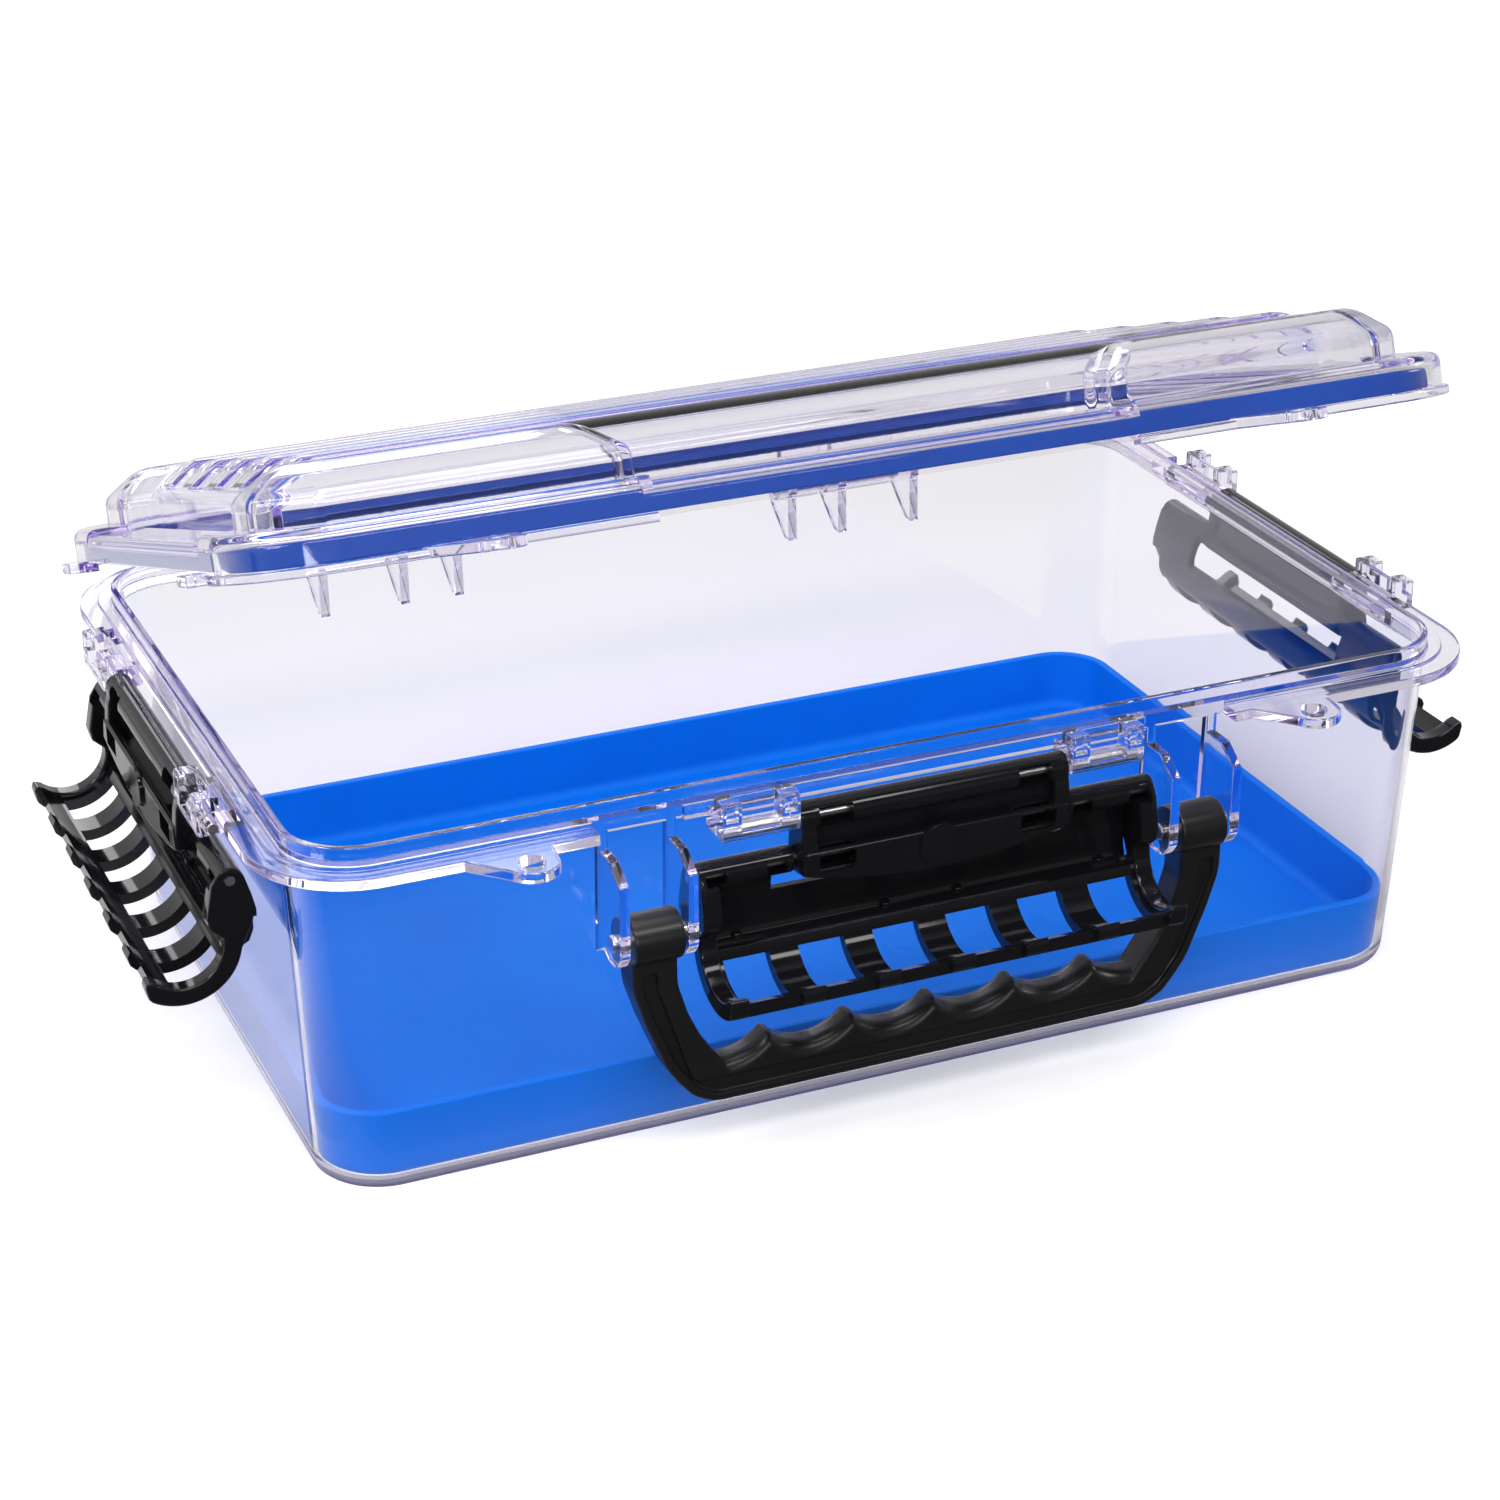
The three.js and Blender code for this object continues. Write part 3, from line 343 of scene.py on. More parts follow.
@dataclass(frozen=True)
class ClearPlastic:
    """Polished clear polycarbonate, lavender where light runs a long way through it.

    Attributes:
        name: Name of the material.
        low: One end of its colour's drift.
        high: The other end.
        drift: Cycles of that drift per metre.
        ior: Its index of refraction.
        absorbed: Colour that a long way through it leaves.
        density: Strength of that tint per metre.
        moulding: How its surface varies.
        shadow: Colour of the light that it lets through to its shadow.
        frosting: Roughness of its underside.
        frosted_below: Height under which a face counts as that underside, in millimetres.
        trapped_after: Turns after which light is let straight out.
    """

    name: str = "clear_polycarbonate"
    low: Colour = (0.965, 0.955, 0.975)
    high: Colour = (0.985, 0.98, 0.99)
    drift: float = 18.0
    ior: float = 1.5
    absorbed: Colour = (0.55, 0.35, 0.95)
    density: float = 14.0
    moulding: Moulding = Moulding(0.025, 0.03, 0.1, 0.00001)
    shadow: Colour = (0.93, 0.92, 0.95)
    frosting: float = 0.85
    frosted_below: float = 0.1
    trapped_after: float = 8.5

    def build(self) -> bpy.types.Material:
        """Builds the material: glass that lets lamps through, filled with a faint tint.

        Returns:
            The material.
        """
        material, shader, output = new_material(self.name)
        tree = material.node_tree
        shader.inputs["Transmission Weight"].default_value = 1.0
        shader.inputs["IOR"].default_value = self.ior
        tinted(tree, shader, self.low, self.high, self.drift)
        self.moulding.dress(tree, shader)
        self.frost(tree, shader)
        clear = add_node(tree, "ShaderNodeBsdfTransparent")
        clear.inputs["Color"].default_value = (*self.shadow, 1)
        rays = add_node(tree, "ShaderNodeLightPath")
        mix = add_node(tree, "ShaderNodeMixShader")
        trapped = math_node(tree, "GREATER_THAN", rays.outputs["Ray Depth"], self.trapped_after)
        leaves = math_node(tree, "MAXIMUM", rays.outputs["Is Shadow Ray"], trapped)
        tree.links.new(leaves, mix.inputs["Fac"])
        tree.links.new(shader.outputs["BSDF"], mix.inputs[1])
        tree.links.new(clear.outputs["BSDF"], mix.inputs[2])
        tree.links.new(mix.outputs["Shader"], output.inputs["Surface"])
        tint = add_node(tree, "ShaderNodeVolumeAbsorption")
        tint.inputs["Color"].default_value = (*self.absorbed, 1)
        tint.inputs["Density"].default_value = self.density
        tree.links.new(tint.outputs["Volume"], output.inputs["Volume"])
        return material

    def frost(self, tree: bpy.types.NodeTree, shader: bpy.types.Node) -> None:
        """Roughens the flat underside that stands on the floor.

        Args:
            tree: The material's tree.
            shader: The Principled shader, with its roughness already fed.
        """
        place = add_node(tree, "ShaderNodeTexCoord")
        split = add_node(tree, "ShaderNodeSeparateXYZ")
        tree.links.new(place.outputs["Object"], split.inputs["Vector"])
        low = math_node(tree, "LESS_THAN", split.outputs["Z"], self.frosted_below * MM)
        polish = shader.inputs["Roughness"].links[0].from_socket
        rough = math_node(tree, "MAXIMUM", polish, math_node(tree, "MULTIPLY", low, self.frosting))
        tree.links.new(rough, shader.inputs["Roughness"])


@dataclass(frozen=True)
class SolidPlastic:
    """Opaque moulded plastic or rubber.

    Attributes:
        name: Name of the material.
        low: One end of its colour's drift.
        high: The other end.
        moulding: How its surface varies.
        specular: Its specular level.
        drift: Cycles of the colour's drift per metre.
    """

    name: str
    low: Colour
    high: Colour
    moulding: Moulding
    specular: float = 0.5
    drift: float = 30.0

    def build(self) -> bpy.types.Material:
        """Builds the material.

        Returns:
            The material.
        """
        material, shader, _ = new_material(self.name)
        shader.inputs["Specular IOR Level"].default_value = self.specular
        tinted(material.node_tree, shader, self.low, self.high, self.drift)
        self.moulding.dress(material.node_tree, shader)
        return material


@dataclass(frozen=True)
class DrawnSteel:
    """Stainless rod with a fine, uneven polish.

    Attributes:
        name: Name of the material.
        low: One end of its colour's drift.
        high: The other end.
        drift: Cycles of that drift per metre.
        moulding: How its surface varies.
    """

    name: str = "drawn_steel"
    low: Colour = (0.68, 0.68, 0.7)
    high: Colour = (0.85, 0.85, 0.87)
    drift: float = 120.0
    moulding: Moulding = Moulding(0.28, 0.12, 1.0, 0.00002)

    def build(self) -> bpy.types.Material:
        """Builds the material.

        Returns:
            The material.
        """
        material, shader, _ = new_material(self.name)
        shader.inputs["Metallic"].default_value = 1.0
        tinted(material.node_tree, shader, self.low, self.high, self.drift)
        self.moulding.dress(material.node_tree, shader)
        return material


class Finishes:
    """All the case's materials, each built once."""

    def __init__(self) -> None:
        """Builds the shared group and the materials."""
        moulded_group()
        self.clear = ClearPlastic().build()
        self.seal = SolidPlastic(
            "gasket_rubber", (0.002, 0.036, 0.23), (0.003, 0.05, 0.3), Moulding(0.4, 0.1, 0.6), 0.25).build()
        self.tray = SolidPlastic(
            "tray_plastic", (0.0, 0.135, 0.62), (0.0, 0.165, 0.7), Moulding(0.55, 0.1, 0.8), 0.12).build()
        self.black = SolidPlastic(
            "latch_plastic", (0.004, 0.004, 0.005), (0.007, 0.007, 0.009), Moulding(0.1, 0.08, 0.2)).build()
        self.satin = SolidPlastic(
            "handle_plastic", (0.006, 0.006, 0.007), (0.01, 0.01, 0.011), Moulding(0.3, 0.1, 0.8)).build()
        self.steel = DrawnSteel().build()


# Mesh helpers


def arc(x: float, y: float, radius: float, start: float, end: float, steps: int) -> Outline:
    """Lists points of an arc.

    Args:
        x: First coordinate of its middle.
        y: Second coordinate of its middle.
        radius: Its radius.
        start: First angle in degrees.
        end: Last angle in degrees.
        steps: Number of facets.

    Returns:
        The points, one more than the facets.
    """
    angles = (math.radians(start + (end - start) * i / steps) for i in range(steps + 1))
    return [(x + radius * math.cos(angle), y + radius * math.sin(angle)) for angle in angles]


def rounded_path(corners: list[Point], steps: int = 5, closed: bool = True) -> Outline:
    """Rounds the corners of a path.

    Args:
        corners: Both coordinates and the rounding of each corner.
        steps: Facets of each rounding.
        closed: Whether the path's end meets its start.

    Returns:
        The path, with equally many points for each rounded corner.
    """
    path = []
    for i, (x, y, radius) in enumerate(corners):
        here = Vector((x, y))
        if not radius or (not closed and i in (0, len(corners) - 1)):
            path.append((x, y))
            continue
        before = Vector(corners[i - 1][:2]) - here
        after = Vector(corners[(i + 1) % len(corners)][:2]) - here
        half = before.angle(after) / 2
        cut = min(radius / math.tan(half), 0.48 * before.length, 0.48 * after.length)
        start, end = here + before.normalized() * cut, here + after.normalized() * cut
        for step in range(steps + 1):
            t = step / steps
            point = start * (1 - t) ** 2 + here * (2 * t * (1 - t)) + end * t ** 2
            path.append((point.x, point.y))
    return path


def circle(x: float, y: float, radius: float) -> Outline:
    """Lists points of a full circle."""
    return arc(x, y, radius, 0, 352.5, 47)


def offset_path(points: Outline, inset: float) -> Outline:
    """Moves the sides of a counter-clockwise outline inwards.

    Args:
        points: The outline.
        inset: How far its sides move.

    Returns:
        The new outline, with as many points.
    """
    moved = []
    for i, point in enumerate(points):
        here = Vector(point)
        before = (here - Vector(points[i - 1])).normalized()
        after = (Vector(points[(i + 1) % len(points)]) - here).normalized()
        normals = Vector((-before.y, before.x)), Vector((-after.y, after.x))
        shift = (normals[0] + normals[1]) / (1 + normals[0].dot(normals[1])) * inset
        moved.append(tuple(here + shift))
    return moved


def rim_outline(inset: float, lean: float = 0.0) -> Outline:
    """Lists the case's rim in plan, a rounded rectangle.

    Args:
        inset: How far it moves inwards.
        lean: Share of the walls' draft by which it moves in further.

    Returns:
        The outline.
    """
    half_x = SIZES.half_length - inset - SIZES.draft_length * lean
    half_y = SIZES.half_width - inset - SIZES.draft_width * lean
    radius = SIZES.rim_radius - inset
    corners = ((1, 1), (-1, 1), (-1, -1), (1, -1))
    return [
        point for i, (sx, sy) in enumerate(corners)
        for point in arc(sx * (half_x - radius), sy * (half_y - radius), radius, 90 * i, 90 * i + 90, 20)
    ]


def skin(name: str, rings: list[list[Point]], loop: bool = False) -> bpy.types.Object:
    """Skins a closed solid over rings with equal counts of points.

    Args:
        name: Name of the object.
        rings: The rings' points in millimetres.
        loop: Whether the last ring meets the first; otherwise both ends are closed by a face.

    Returns:
        The object, at the origin.
    """
    mesh = bmesh.new()
    rows = [[mesh.verts.new(Vector(point) * MM) for point in ring] for ring in rings]
    for low, high in list(zip(rows, rows[1:])) + ([(rows[-1], rows[0])] if loop else []):
        for i, vertex in enumerate(low):
            j = (i + 1) % len(low)
            mesh.faces.new((vertex, low[j], high[j], high[i]))
    if not loop:
        mesh.faces.new(rows[0][::-1])
        mesh.faces.new(rows[-1])
    bmesh.ops.recalc_face_normals(mesh, faces=mesh.faces)
    data = bpy.data.meshes.new(name)
    mesh.to_mesh(data)
    mesh.free()
    made = bpy.data.objects.new(name, data)
    bpy.context.scene.collection.objects.link(made)
    return made


def vessel(name: str, profile: Outline) -> bpy.types.Object:
    """Skins an open vessel that leans in with the tub's walls.

    Args:
        name: Name of the object.
        profile: Points of its section in (inset, height), from the middle of the underside round the rim.

    Returns:
        The object, at the origin.
    """
    rings = []
    blend = 0.9
    for inset, height in profile:
        share = min(max((inset - SIZES.lip_inset + blend) / blend, 0.0), 1.0)
        lean = share * (1 - height / SIZES.tub_height)
        rings.append([(x, y, height) for x, y in rim_outline(inset, lean)])
    return skin(name, rings)


def rim_band(name: str, section: list[Point]) -> bpy.types.Object:
    """Sweeps a closed section of (inset, height, rounding) corners round the rim."""
    rings = [[(x, y, height) for x, y in rim_outline(inset)] for inset, height in rounded_path(section, 4)]
    return skin(name, rings, loop=True)


def prism(name: str, section: Outline, start: float, end: float, outward: float = -1) -> bpy.types.Object:
    """Draws a section in (outward, up) out along X; outward is -Y, or +Y at the rear."""
    return skin(name, [[(x, outward * out, up) for out, up in section] for x in (start, end)])


def slab(name: str, outline: Outline, back: float, front: float) -> bpy.types.Object:
    """Draws an outline in (across, up) out towards the front."""
    return skin(name, [[(x, -out, z) for x, z in outline] for out in (back, front)])


def plate(name: str, outline: Outline, low: float, high: float) -> bpy.types.Object:
    """Draws an outline in plan up from one height to another."""
    return skin(name, [[(x, y, z) for x, y in outline] for z in (low, high)])


def brick(name: str, x: Range, out: Range, up: Range) -> bpy.types.Object:
    """Makes a box from its ranges along X, outward from the front and up."""
    return prism(name, [(out[0], up[0]), (out[1], up[0]), (out[1], up[1]), (out[0], up[1])], *x)


def bar(name: str, radius: float, x: Range, out: float, up: float, outward: float = -1) -> bpy.types.Object:
    """Makes a round bar along X."""
    return prism(name, circle(out, up, radius), *x, outward)


def settle_modifiers(piece: bpy.types.Object) -> None:
    """Applies a piece's modifiers to its mesh.

    Args:
        piece: The object.
    """
    graph = bpy.context.evaluated_depsgraph_get()
    result = bpy.data.meshes.new_from_object(piece.evaluated_get(graph), depsgraph=graph)
    piece.modifiers.clear()
    piece.data = result


def combine(piece: bpy.types.Object, operation: str, *tools: bpy.types.Object) -> bpy.types.Object:
    """Joins tools to a piece, cuts them from it or keeps what they share.

    Args:
        piece: The solid that changes.
        operation: UNION, DIFFERENCE or INTERSECT.
        tools: The other solids, which are used up.

    Returns:
        The changed piece.
    """
    for tool in tools:
        step = piece.modifiers.new(operation.lower(), "BOOLEAN")
        step.solver = "MANIFOLD"
        step.operation = operation
        step.object = tool
    settle_modifiers(piece)
    for tool in tools:
        bpy.data.objects.remove(tool)
    return piece


def moved(piece: bpy.types.Object, place: Matrix) -> bpy.types.Object:
    """Moves a piece's mesh.

    Args:
        piece: The object.
        place: The motion, in millimetres.

    Returns:
        The same object.
    """
    whole = place.copy()
    whole.translation *= MM
    piece.data.transform(whole)
    return piece


def both_halves(x: Range) -> tuple[Range, Range]:
    """Gives a range of X and the mirrored one."""
    return x, (-x[1], -x[0])


def on_side(piece: bpy.types.Object, side: Side) -> bpy.types.Object:
    """Takes a piece made for a front edge at zero to one of the latched sides."""
    edge = SIZES.half_width if side is Side.FRONT else SIZES.half_length
    return moved(piece, side.turn @ Matrix.Translation((0, -edge, 0)))


def soften(piece: bpy.types.Object, width: float, segments: int = 2, limit: float = 38.0) -> bpy.types.Object:
    """Rounds a simple piece's sharp edges.

    Args:
        piece: The object.
        width: Width of the rounding in metres.
        segments: Facets across it.
        limit: Smallest angle between faces that counts as sharp, in degrees.

    Returns:
        The same object.
    """
    bevel = piece.modifiers.new("edges", "BEVEL")
    bevel.limit_method = "ANGLE"
    bevel.angle_limit = math.radians(limit)
    bevel.width = width
    bevel.segments = segments
    settle_modifiers(piece)
    return piece


def shade(piece: bpy.types.Object, limit: float = 32.0) -> bpy.types.Object:
    """Shades a piece smooth, with its flat faces joined up and kept flat.

    Args:
        piece: The object.
        limit: Smallest angle between faces that stays a sharp edge, in degrees.

    Returns:
        The same object.
    """
    flat = math.radians(0.4)
    mesh = bmesh.new()
    mesh.from_mesh(piece.data)
    bmesh.ops.dissolve_limit(
        mesh, angle_limit=flat, use_dissolve_boundaries=False, verts=mesh.verts, edges=mesh.edges)
    mesh.to_mesh(piece.data)
    mesh.free()
    piece.data.shade_smooth()
    piece.data.set_sharp_from_angle(angle=math.radians(limit))
    weigh = piece.modifiers.new("flat_faces", "WEIGHTED_NORMAL")
    weigh.keep_sharp = True
    weigh.weight = 80
    settle_modifiers(piece)
    return piece


def finish_piece(
    piece: bpy.types.Object, body: str, slot: str, material: bpy.types.Material, *nodes: str
) -> bpy.types.Object:
    """Gives a piece its material and body, and hides the CAD nodes that it stands for.

    Args:
        piece: The object.
        body: The CAD body that it moves with.
        slot: The record's material slot; not used.
        material: The Blender material.
        nodes: CAD nodes that it replaces.

    Returns:
        The same object.
    """
    piece.data.materials.clear()
    piece.data.materials.append(material)
    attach(piece, body)
    if nodes:
        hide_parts(*nodes)
    LOG.info("%s rides on %s, %d faces", piece.name, body, len(piece.data.polygons))
    return piece


# Clear shells


def eyelet(x: float, low: float, high: float) -> bpy.types.Object:
    """Makes a padlock eyelet on the front edge, ramped on its left.

    Args:
        x: Its place along X.
        low: Height of its underside.
        high: Height of its top.

    Returns:
        The eyelet, without its hole.
    """
    front = -SIZES.half_width
    outline = [
        (x - 18.6, front + 3), (x - 15.3, front - 1), *arc(x, front - SIZES.eyelet_out, 7.6, 205, 360, 18),
        (x + 8.6, front + 3)]
    return soften(plate("eyelet", outline, low, high), 0.5 * MM, 3)


def eyelet_holes(low: float, high: float) -> list[bpy.types.Object]:
    """Makes the cutters for both eyelets' holes.

    Args:
        low: Height of their lower ends.
        high: Height of their upper ends.

    Returns:
        The cutters.
    """
    out = -SIZES.half_width - SIZES.eyelet_out
    return [plate("hole", arc(x, out, SIZES.eyelet_hole, 0, 350, 35), low, high) for x in SIZES.eyelets]


def latch_gaps(back: float, up: Range) -> list[bpy.types.Object]:
    """Makes the cutters that open an edge at the three latches.

    Args:
        back: How far each reaches in from the edge.
        up: Its range of heights.

    Returns:
        The cutters, one on each latched side.
    """
    reach = (-SIZES.latch_gap, SIZES.latch_gap)
    return [on_side(brick("gap", reach, (-back, PAST), up), side) for side in Side]


@dataclass
class Tub:
    """The clear tub, with its lip, flange, ribs, gussets, eyelets and latch lugs.

    Attributes:
        finishes: The case's materials.
        wall: Thickness of the walls and the floor.
        ledge: Inset of the raised ledge that carries the lip.
        rib_places: Inner faces of the handle's ribs along X.
        rib: Thickness of a rib.
        gusset: Half the thickness of a gusset.
        hinge_notch: Ends of one rear opening in the rim, where a hinge arm passes.
        lug_ends: Ends of one latch lug along its edge.
        latch_bore_end: How far the lever pin's bore reaches from the middle of its edge.
        handle_bore_ends: Ends of one handle pin's bore along X.
    """

    finishes: Finishes
    wall: float = 2.2
    ledge: float = 5.5
    rib_places: Range = (71.5, 91.1)
    rib: float = 3.0
    gusset: float = 1.5
    hinge_notch: Range = (70.0, 96.1)
    lug_ends: Range = (41.0, 63.4)
    latch_bore_end: float = 64.4
    handle_bore_ends: Range = (70.5, 97.1)

    def build(self) -> None:
        """Builds the tub."""
        lip, high, wall, ledge = SIZES.lip_inset, SIZES.tub_height, self.wall, self.ledge
        inner = lip + wall
        under, top = SIZES.flange
        step = top + 0.9
        profile = rounded_path([
            (24, 0, 0), (lip, 0, 4.5), (lip, under, 0.9), (0, under, 0.5), (0, top, 0.5), (ledge, top, 0.3),
            (ledge, step, 0.4), (lip, step, 0.3), (lip, high, 0.7), (inner, high, 0.7), (inner, wall, 4.3),
            (26, wall, 0)], closed=False)
        tub = vessel("tub_shell", profile)
        through = (under - 1, top + 1.9)
        rear = (SIZES.half_width - 7, SIZES.half_width + PAST)
        notches = [brick("notch", ends, rear, through) for ends in both_halves(self.hinge_notch)]
        combine(tub, "DIFFERENCE", *latch_gaps(ledge, through), *notches)
        eyelets = [eyelet(x, under, top) for x in SIZES.eyelets]
        combine(tub, "UNION", *self.ribs(), *self.gussets(), *eyelets, *self.lugs())
        combine(tub, "DIFFERENCE", *self.bores())
        finish_piece(shade(tub), "case", "clear_shell", self.finishes.clear, "tub")

    def ribs(self) -> list[bpy.types.Object]:
        """Makes the four plates that carry the handle's pins.

        Returns:
            The plates, two on each half.
        """
        section = rounded_path([
            (-10.6, 101.1, 0), (-11.6, 62.5, 0), (-6, 66.5, 3), (-2.6, 64.6, 4), (4.4, 64.6, 5.4),
            (8, 69.5, 3), (8, 90.1, 1.5), (0.5, 95.1, 1.5), (-7, 95.1, 0), (-7, 101.1, 0)])
        place = Matrix.Translation((0, -SIZES.half_width, 0))
        return [
            moved(soften(prism("rib", section, *ends), 0.45 * MM), place)
            for x in self.rib_places for ends in both_halves((x, x + self.rib))]

    def gussets(self) -> list[bpy.types.Object]:
        """Makes the six plates on the rear wall that carry the hinge pins.

        Returns:
            The plates, three on each half.
        """
        hinge = arc(SIZES.hinge_y, SIZES.hinge_z, 3.7, 305, 405, 10)
        section = [(106, 101.1), (106, 80.2), (111, 80.2), *hinge, (118, 101.1)]
        return [
            soften(prism("gusset", section, *ends, 1), 0.3 * MM)
            for x in SIZES.gussets for ends in both_halves((x - self.gusset, x + self.gusset))]

    def lugs(self) -> list[bpy.types.Object]:
        """Makes the six cradles of the latches' lever pins."""
        return [on_side(self.lug(*ends), side) for side in Side for ends in both_halves(self.lug_ends)]

    def lug(self, start: float, end: float) -> bpy.types.Object:
        """Makes one cradle: two end posts with windows, a ledge between them and a boss over the pin.

        Args:
            start: Its lower end along X.
            end: Its upper end along X.

        Returns:
            The cradle, for a front edge at zero.
        """
        post, (out, up) = 5.4, SIZES.latch_pin
        section = rounded_path([
            (-6.5, 103.2, 0), (-6.5, 97, 1), (-5, 96.5, 1), (5.7, 96.5, 1.2), (5.7, 107.6, 1.2),
            (-1, 107.6, 0.5), (-1, 103.2, 0)])
        lug = prism("lug", section, start, end)
        windows = [brick("window", (x + 1, x + 4.4), (3.1, 7), (102.4, 106.4)) for x in (start, end - post)]
        middle = brick("middle", (start + post, end - post), (0.4, 7), (98.7, 109))
        combine(lug, "DIFFERENCE", middle, *windows)
        soften(lug, 0.3 * MM)
        reach = 3.2
        dome = arc(out, up, reach, 0, 180, 16) + [(out - reach, up - 1), (out + reach, up - 1)]
        boss = prism("boss", dome, start + post - 0.5, end - post + 0.5)
        return combine(lug, "UNION", boss)

    def bores(self) -> list[bpy.types.Object]:
        """Makes the cutters for the pins' bores and the eyelets' holes.

        Returns:
            The cutters.
        """
        out, up = SIZES.handle_pin
        reach = (-self.latch_bore_end, self.latch_bore_end)
        bores = [on_side(bar("bore", SIZES.latch_bore, reach, *SIZES.latch_pin), side) for side in Side]
        bores += [
            bar("bore", SIZES.handle_bore, ends, SIZES.half_width + out, up)
            for ends in both_halves(self.handle_bore_ends)]
        bores.append(hinge_bore(SIZES.hinge_z))
        return bores + eyelet_holes(99, 104.2)


def hinge_bore(up: float) -> bpy.types.Object:
    """Makes the cutter for the hinge pins at a height."""
    reach = (-SIZES.hinge_reach, SIZES.hinge_reach)
    return bar("bore", SIZES.hinge_bore, reach, SIZES.hinge_y, up, 1)


def latch_recess(side: Side, wall: float) -> bpy.types.Object:
    """Makes the space over a latch's rounded catch rim and the groove behind it.

    Args:
        side: The edge that it lies on.
        wall: How far its faces move into the lid.

    Returns:
        The space, at the closed lid's own heights.
    """
    edge, back, end = SIZES.lid_skirt + wall, 19.7 - wall, 25.6 + wall
    seat, crest, groove = 5.6 - wall, 10.8 - wall, 7.5 - wall
    section = rounded_path([
        (-10, seat, 0), (edge, seat, 0), (edge, crest, 4.6 - wall), (back, crest, 0.9),
        (back + 0.7, groove, 0.9), (end, groove, 0), (end, 60, 0), (-10, 60, 0)], 8)
    half = SIZES.latch_gap + wall
    return on_side(prism("recess", [(-inset, up) for inset, up in section], -half, half), side)


@dataclass
class Lid:
    """The clear two-tier lid.

    Attributes:
        finishes: The case's materials.
        shelf: Height of the lower tier.
        top: Height of the upper tier.
        rise: Height of the upper tier's slope.
        run: Width of that slope.
        ridge_rise: How far the ridges stand up.
        ridge_half: Half the width of a ridge.
        ridge_pitch: From one ridge to the next.
        ridge_count: Number of ridges.
        arms: Ends of the hinge arms of one half along X.
        tab_places: Front ends of the tabs along Y.
        tab_length: Length of a tab.
        relief_inset: How far in from the flange's edge the skirt is relieved over a latch.
        front_relief: Height of that relief at the front.
        end_relief: Its height at the ends, where the claws pass under the open lid.
    """

    finishes: Finishes
    shelf: float = 12.4
    top: float = 28.0
    rise: float = 8.0
    run: float = 10.5
    ridge_rise: float = 1.3
    ridge_half: float = 6.0
    ridge_pitch: float = 31.0
    ridge_count: int = 5
    arms: tuple[Range, Range] = ((60.6, 75.3), (78.9, 101.9))
    tab_places: Range = (-84.0, 73.0)
    tab_length: float = 11.0
    relief_inset: float = 4.6
    front_relief: float = 1.3
    end_relief: float = 2.8

    def build(self) -> None:
        """Builds the lid closed and swings it open."""
        lid = self.tiers("lid_shell", 0)
        raised = self.block("raised", -self.ridge_rise, self.top - self.rise)
        combine(lid, "UNION", combine(self.ridges(), "INTERSECT", raised))
        combine(lid, "DIFFERENCE", self.tiers("hollow", SIZES.lid_wall))
        combine(lid, "UNION", *self.trims())
        combine(lid, "DIFFERENCE", *self.cuts())
        finish_piece(shade(open_lid(lid)), "lid", "clear_shell", self.finishes.clear, "lid")

    def tiers(self, name: str, wall: float) -> bpy.types.Object:
        """Makes both tiers as a solid.

        Args:
            name: Name of the solid.
            wall: How far its faces move inwards.

        Returns:
            The solid, with the space of each latch taken out.
        """
        bottom = -1.0 if wall else 0.0
        edge, shelf = SIZES.lid_skirt + wall, self.shelf - wall
        profile = rounded_path(
            [(edge, bottom, 0), (edge, shelf, 3.5 - 0.5 * wall), (16, shelf, 0)], 10, closed=False)
        rings = [[(x, y, height) for x, y in rim_outline(inset)] for inset, height in profile]
        lower = combine(skin(name, rings), "DIFFERENCE", *(latch_recess(side, wall) for side in Side))
        return combine(lower, "UNION", self.block("block", wall, bottom if wall else 5.0))

    def block(self, name: str, wall: float, bottom: float) -> bpy.types.Object:
        """Makes the upper tier over its notched plan, bevelled all round.

        Args:
            name: Name of the solid.
            wall: How far its faces move inwards.
            bottom: Height of its underside.

        Returns:
            The solid.
        """
        x, y = SIZES.half_length - 12.5, SIZES.half_width - 12.5
        end, front = SIZES.half_length - 24.6, SIZES.half_width - 24.6
        cut, gap = 15, SIZES.latch_gap
        plan = [
            (cut - x, -y), (-gap, -y), (-gap, -front), (gap, -front), (gap, -y), (x - cut, -y), (x, cut - y),
            (x, -gap), (end, -gap), (end, gap), (x, gap), (x, y - cut), (x - cut, y), (cut - x, y),
            (-x, y - cut), (-x, gap), (-end, gap), (-end, -gap), (-x, -gap), (-x, cut - y)]
        slope = math.atan2(self.rise, self.run)
        low = self.top - self.rise - wall * math.tan((math.pi / 2 - slope) / 2)
        high = self.run + wall * math.tan(slope / 2)
        roof = self.top - wall
        profile = rounded_path(
            [(wall, bottom, 0), (wall, low, 5), (high, roof, 11.5), (high + 8, roof, 0)], 6, closed=False)
        rings = []
        for inset, height in profile:
            corners = [(px, py, 3.0) for px, py in offset_path(plan, inset)]
            rings.append([(px, py, height) for px, py in rounded_path(corners, 6)])
        return skin(name, rings)

    def ridges(self) -> bpy.types.Object:
        """Makes the row of stiffening ridges by Geometry Nodes from one bar.

        Returns:
            The ridges, longer than the lid.
        """
        half, foot = self.ridge_half, 22
        crown = [(half * out, self.top + self.ridge_rise * up) for out, up in arc(0, 0, 1, 180, 0, 14)]
        one = prism("ridge", [(-half, foot), *crown, (half, foot)], -SIZES.half_length, SIZES.half_length)
        return row_of_copies(one, self.ridge_count, (0, self.ridge_pitch * MM, 0))

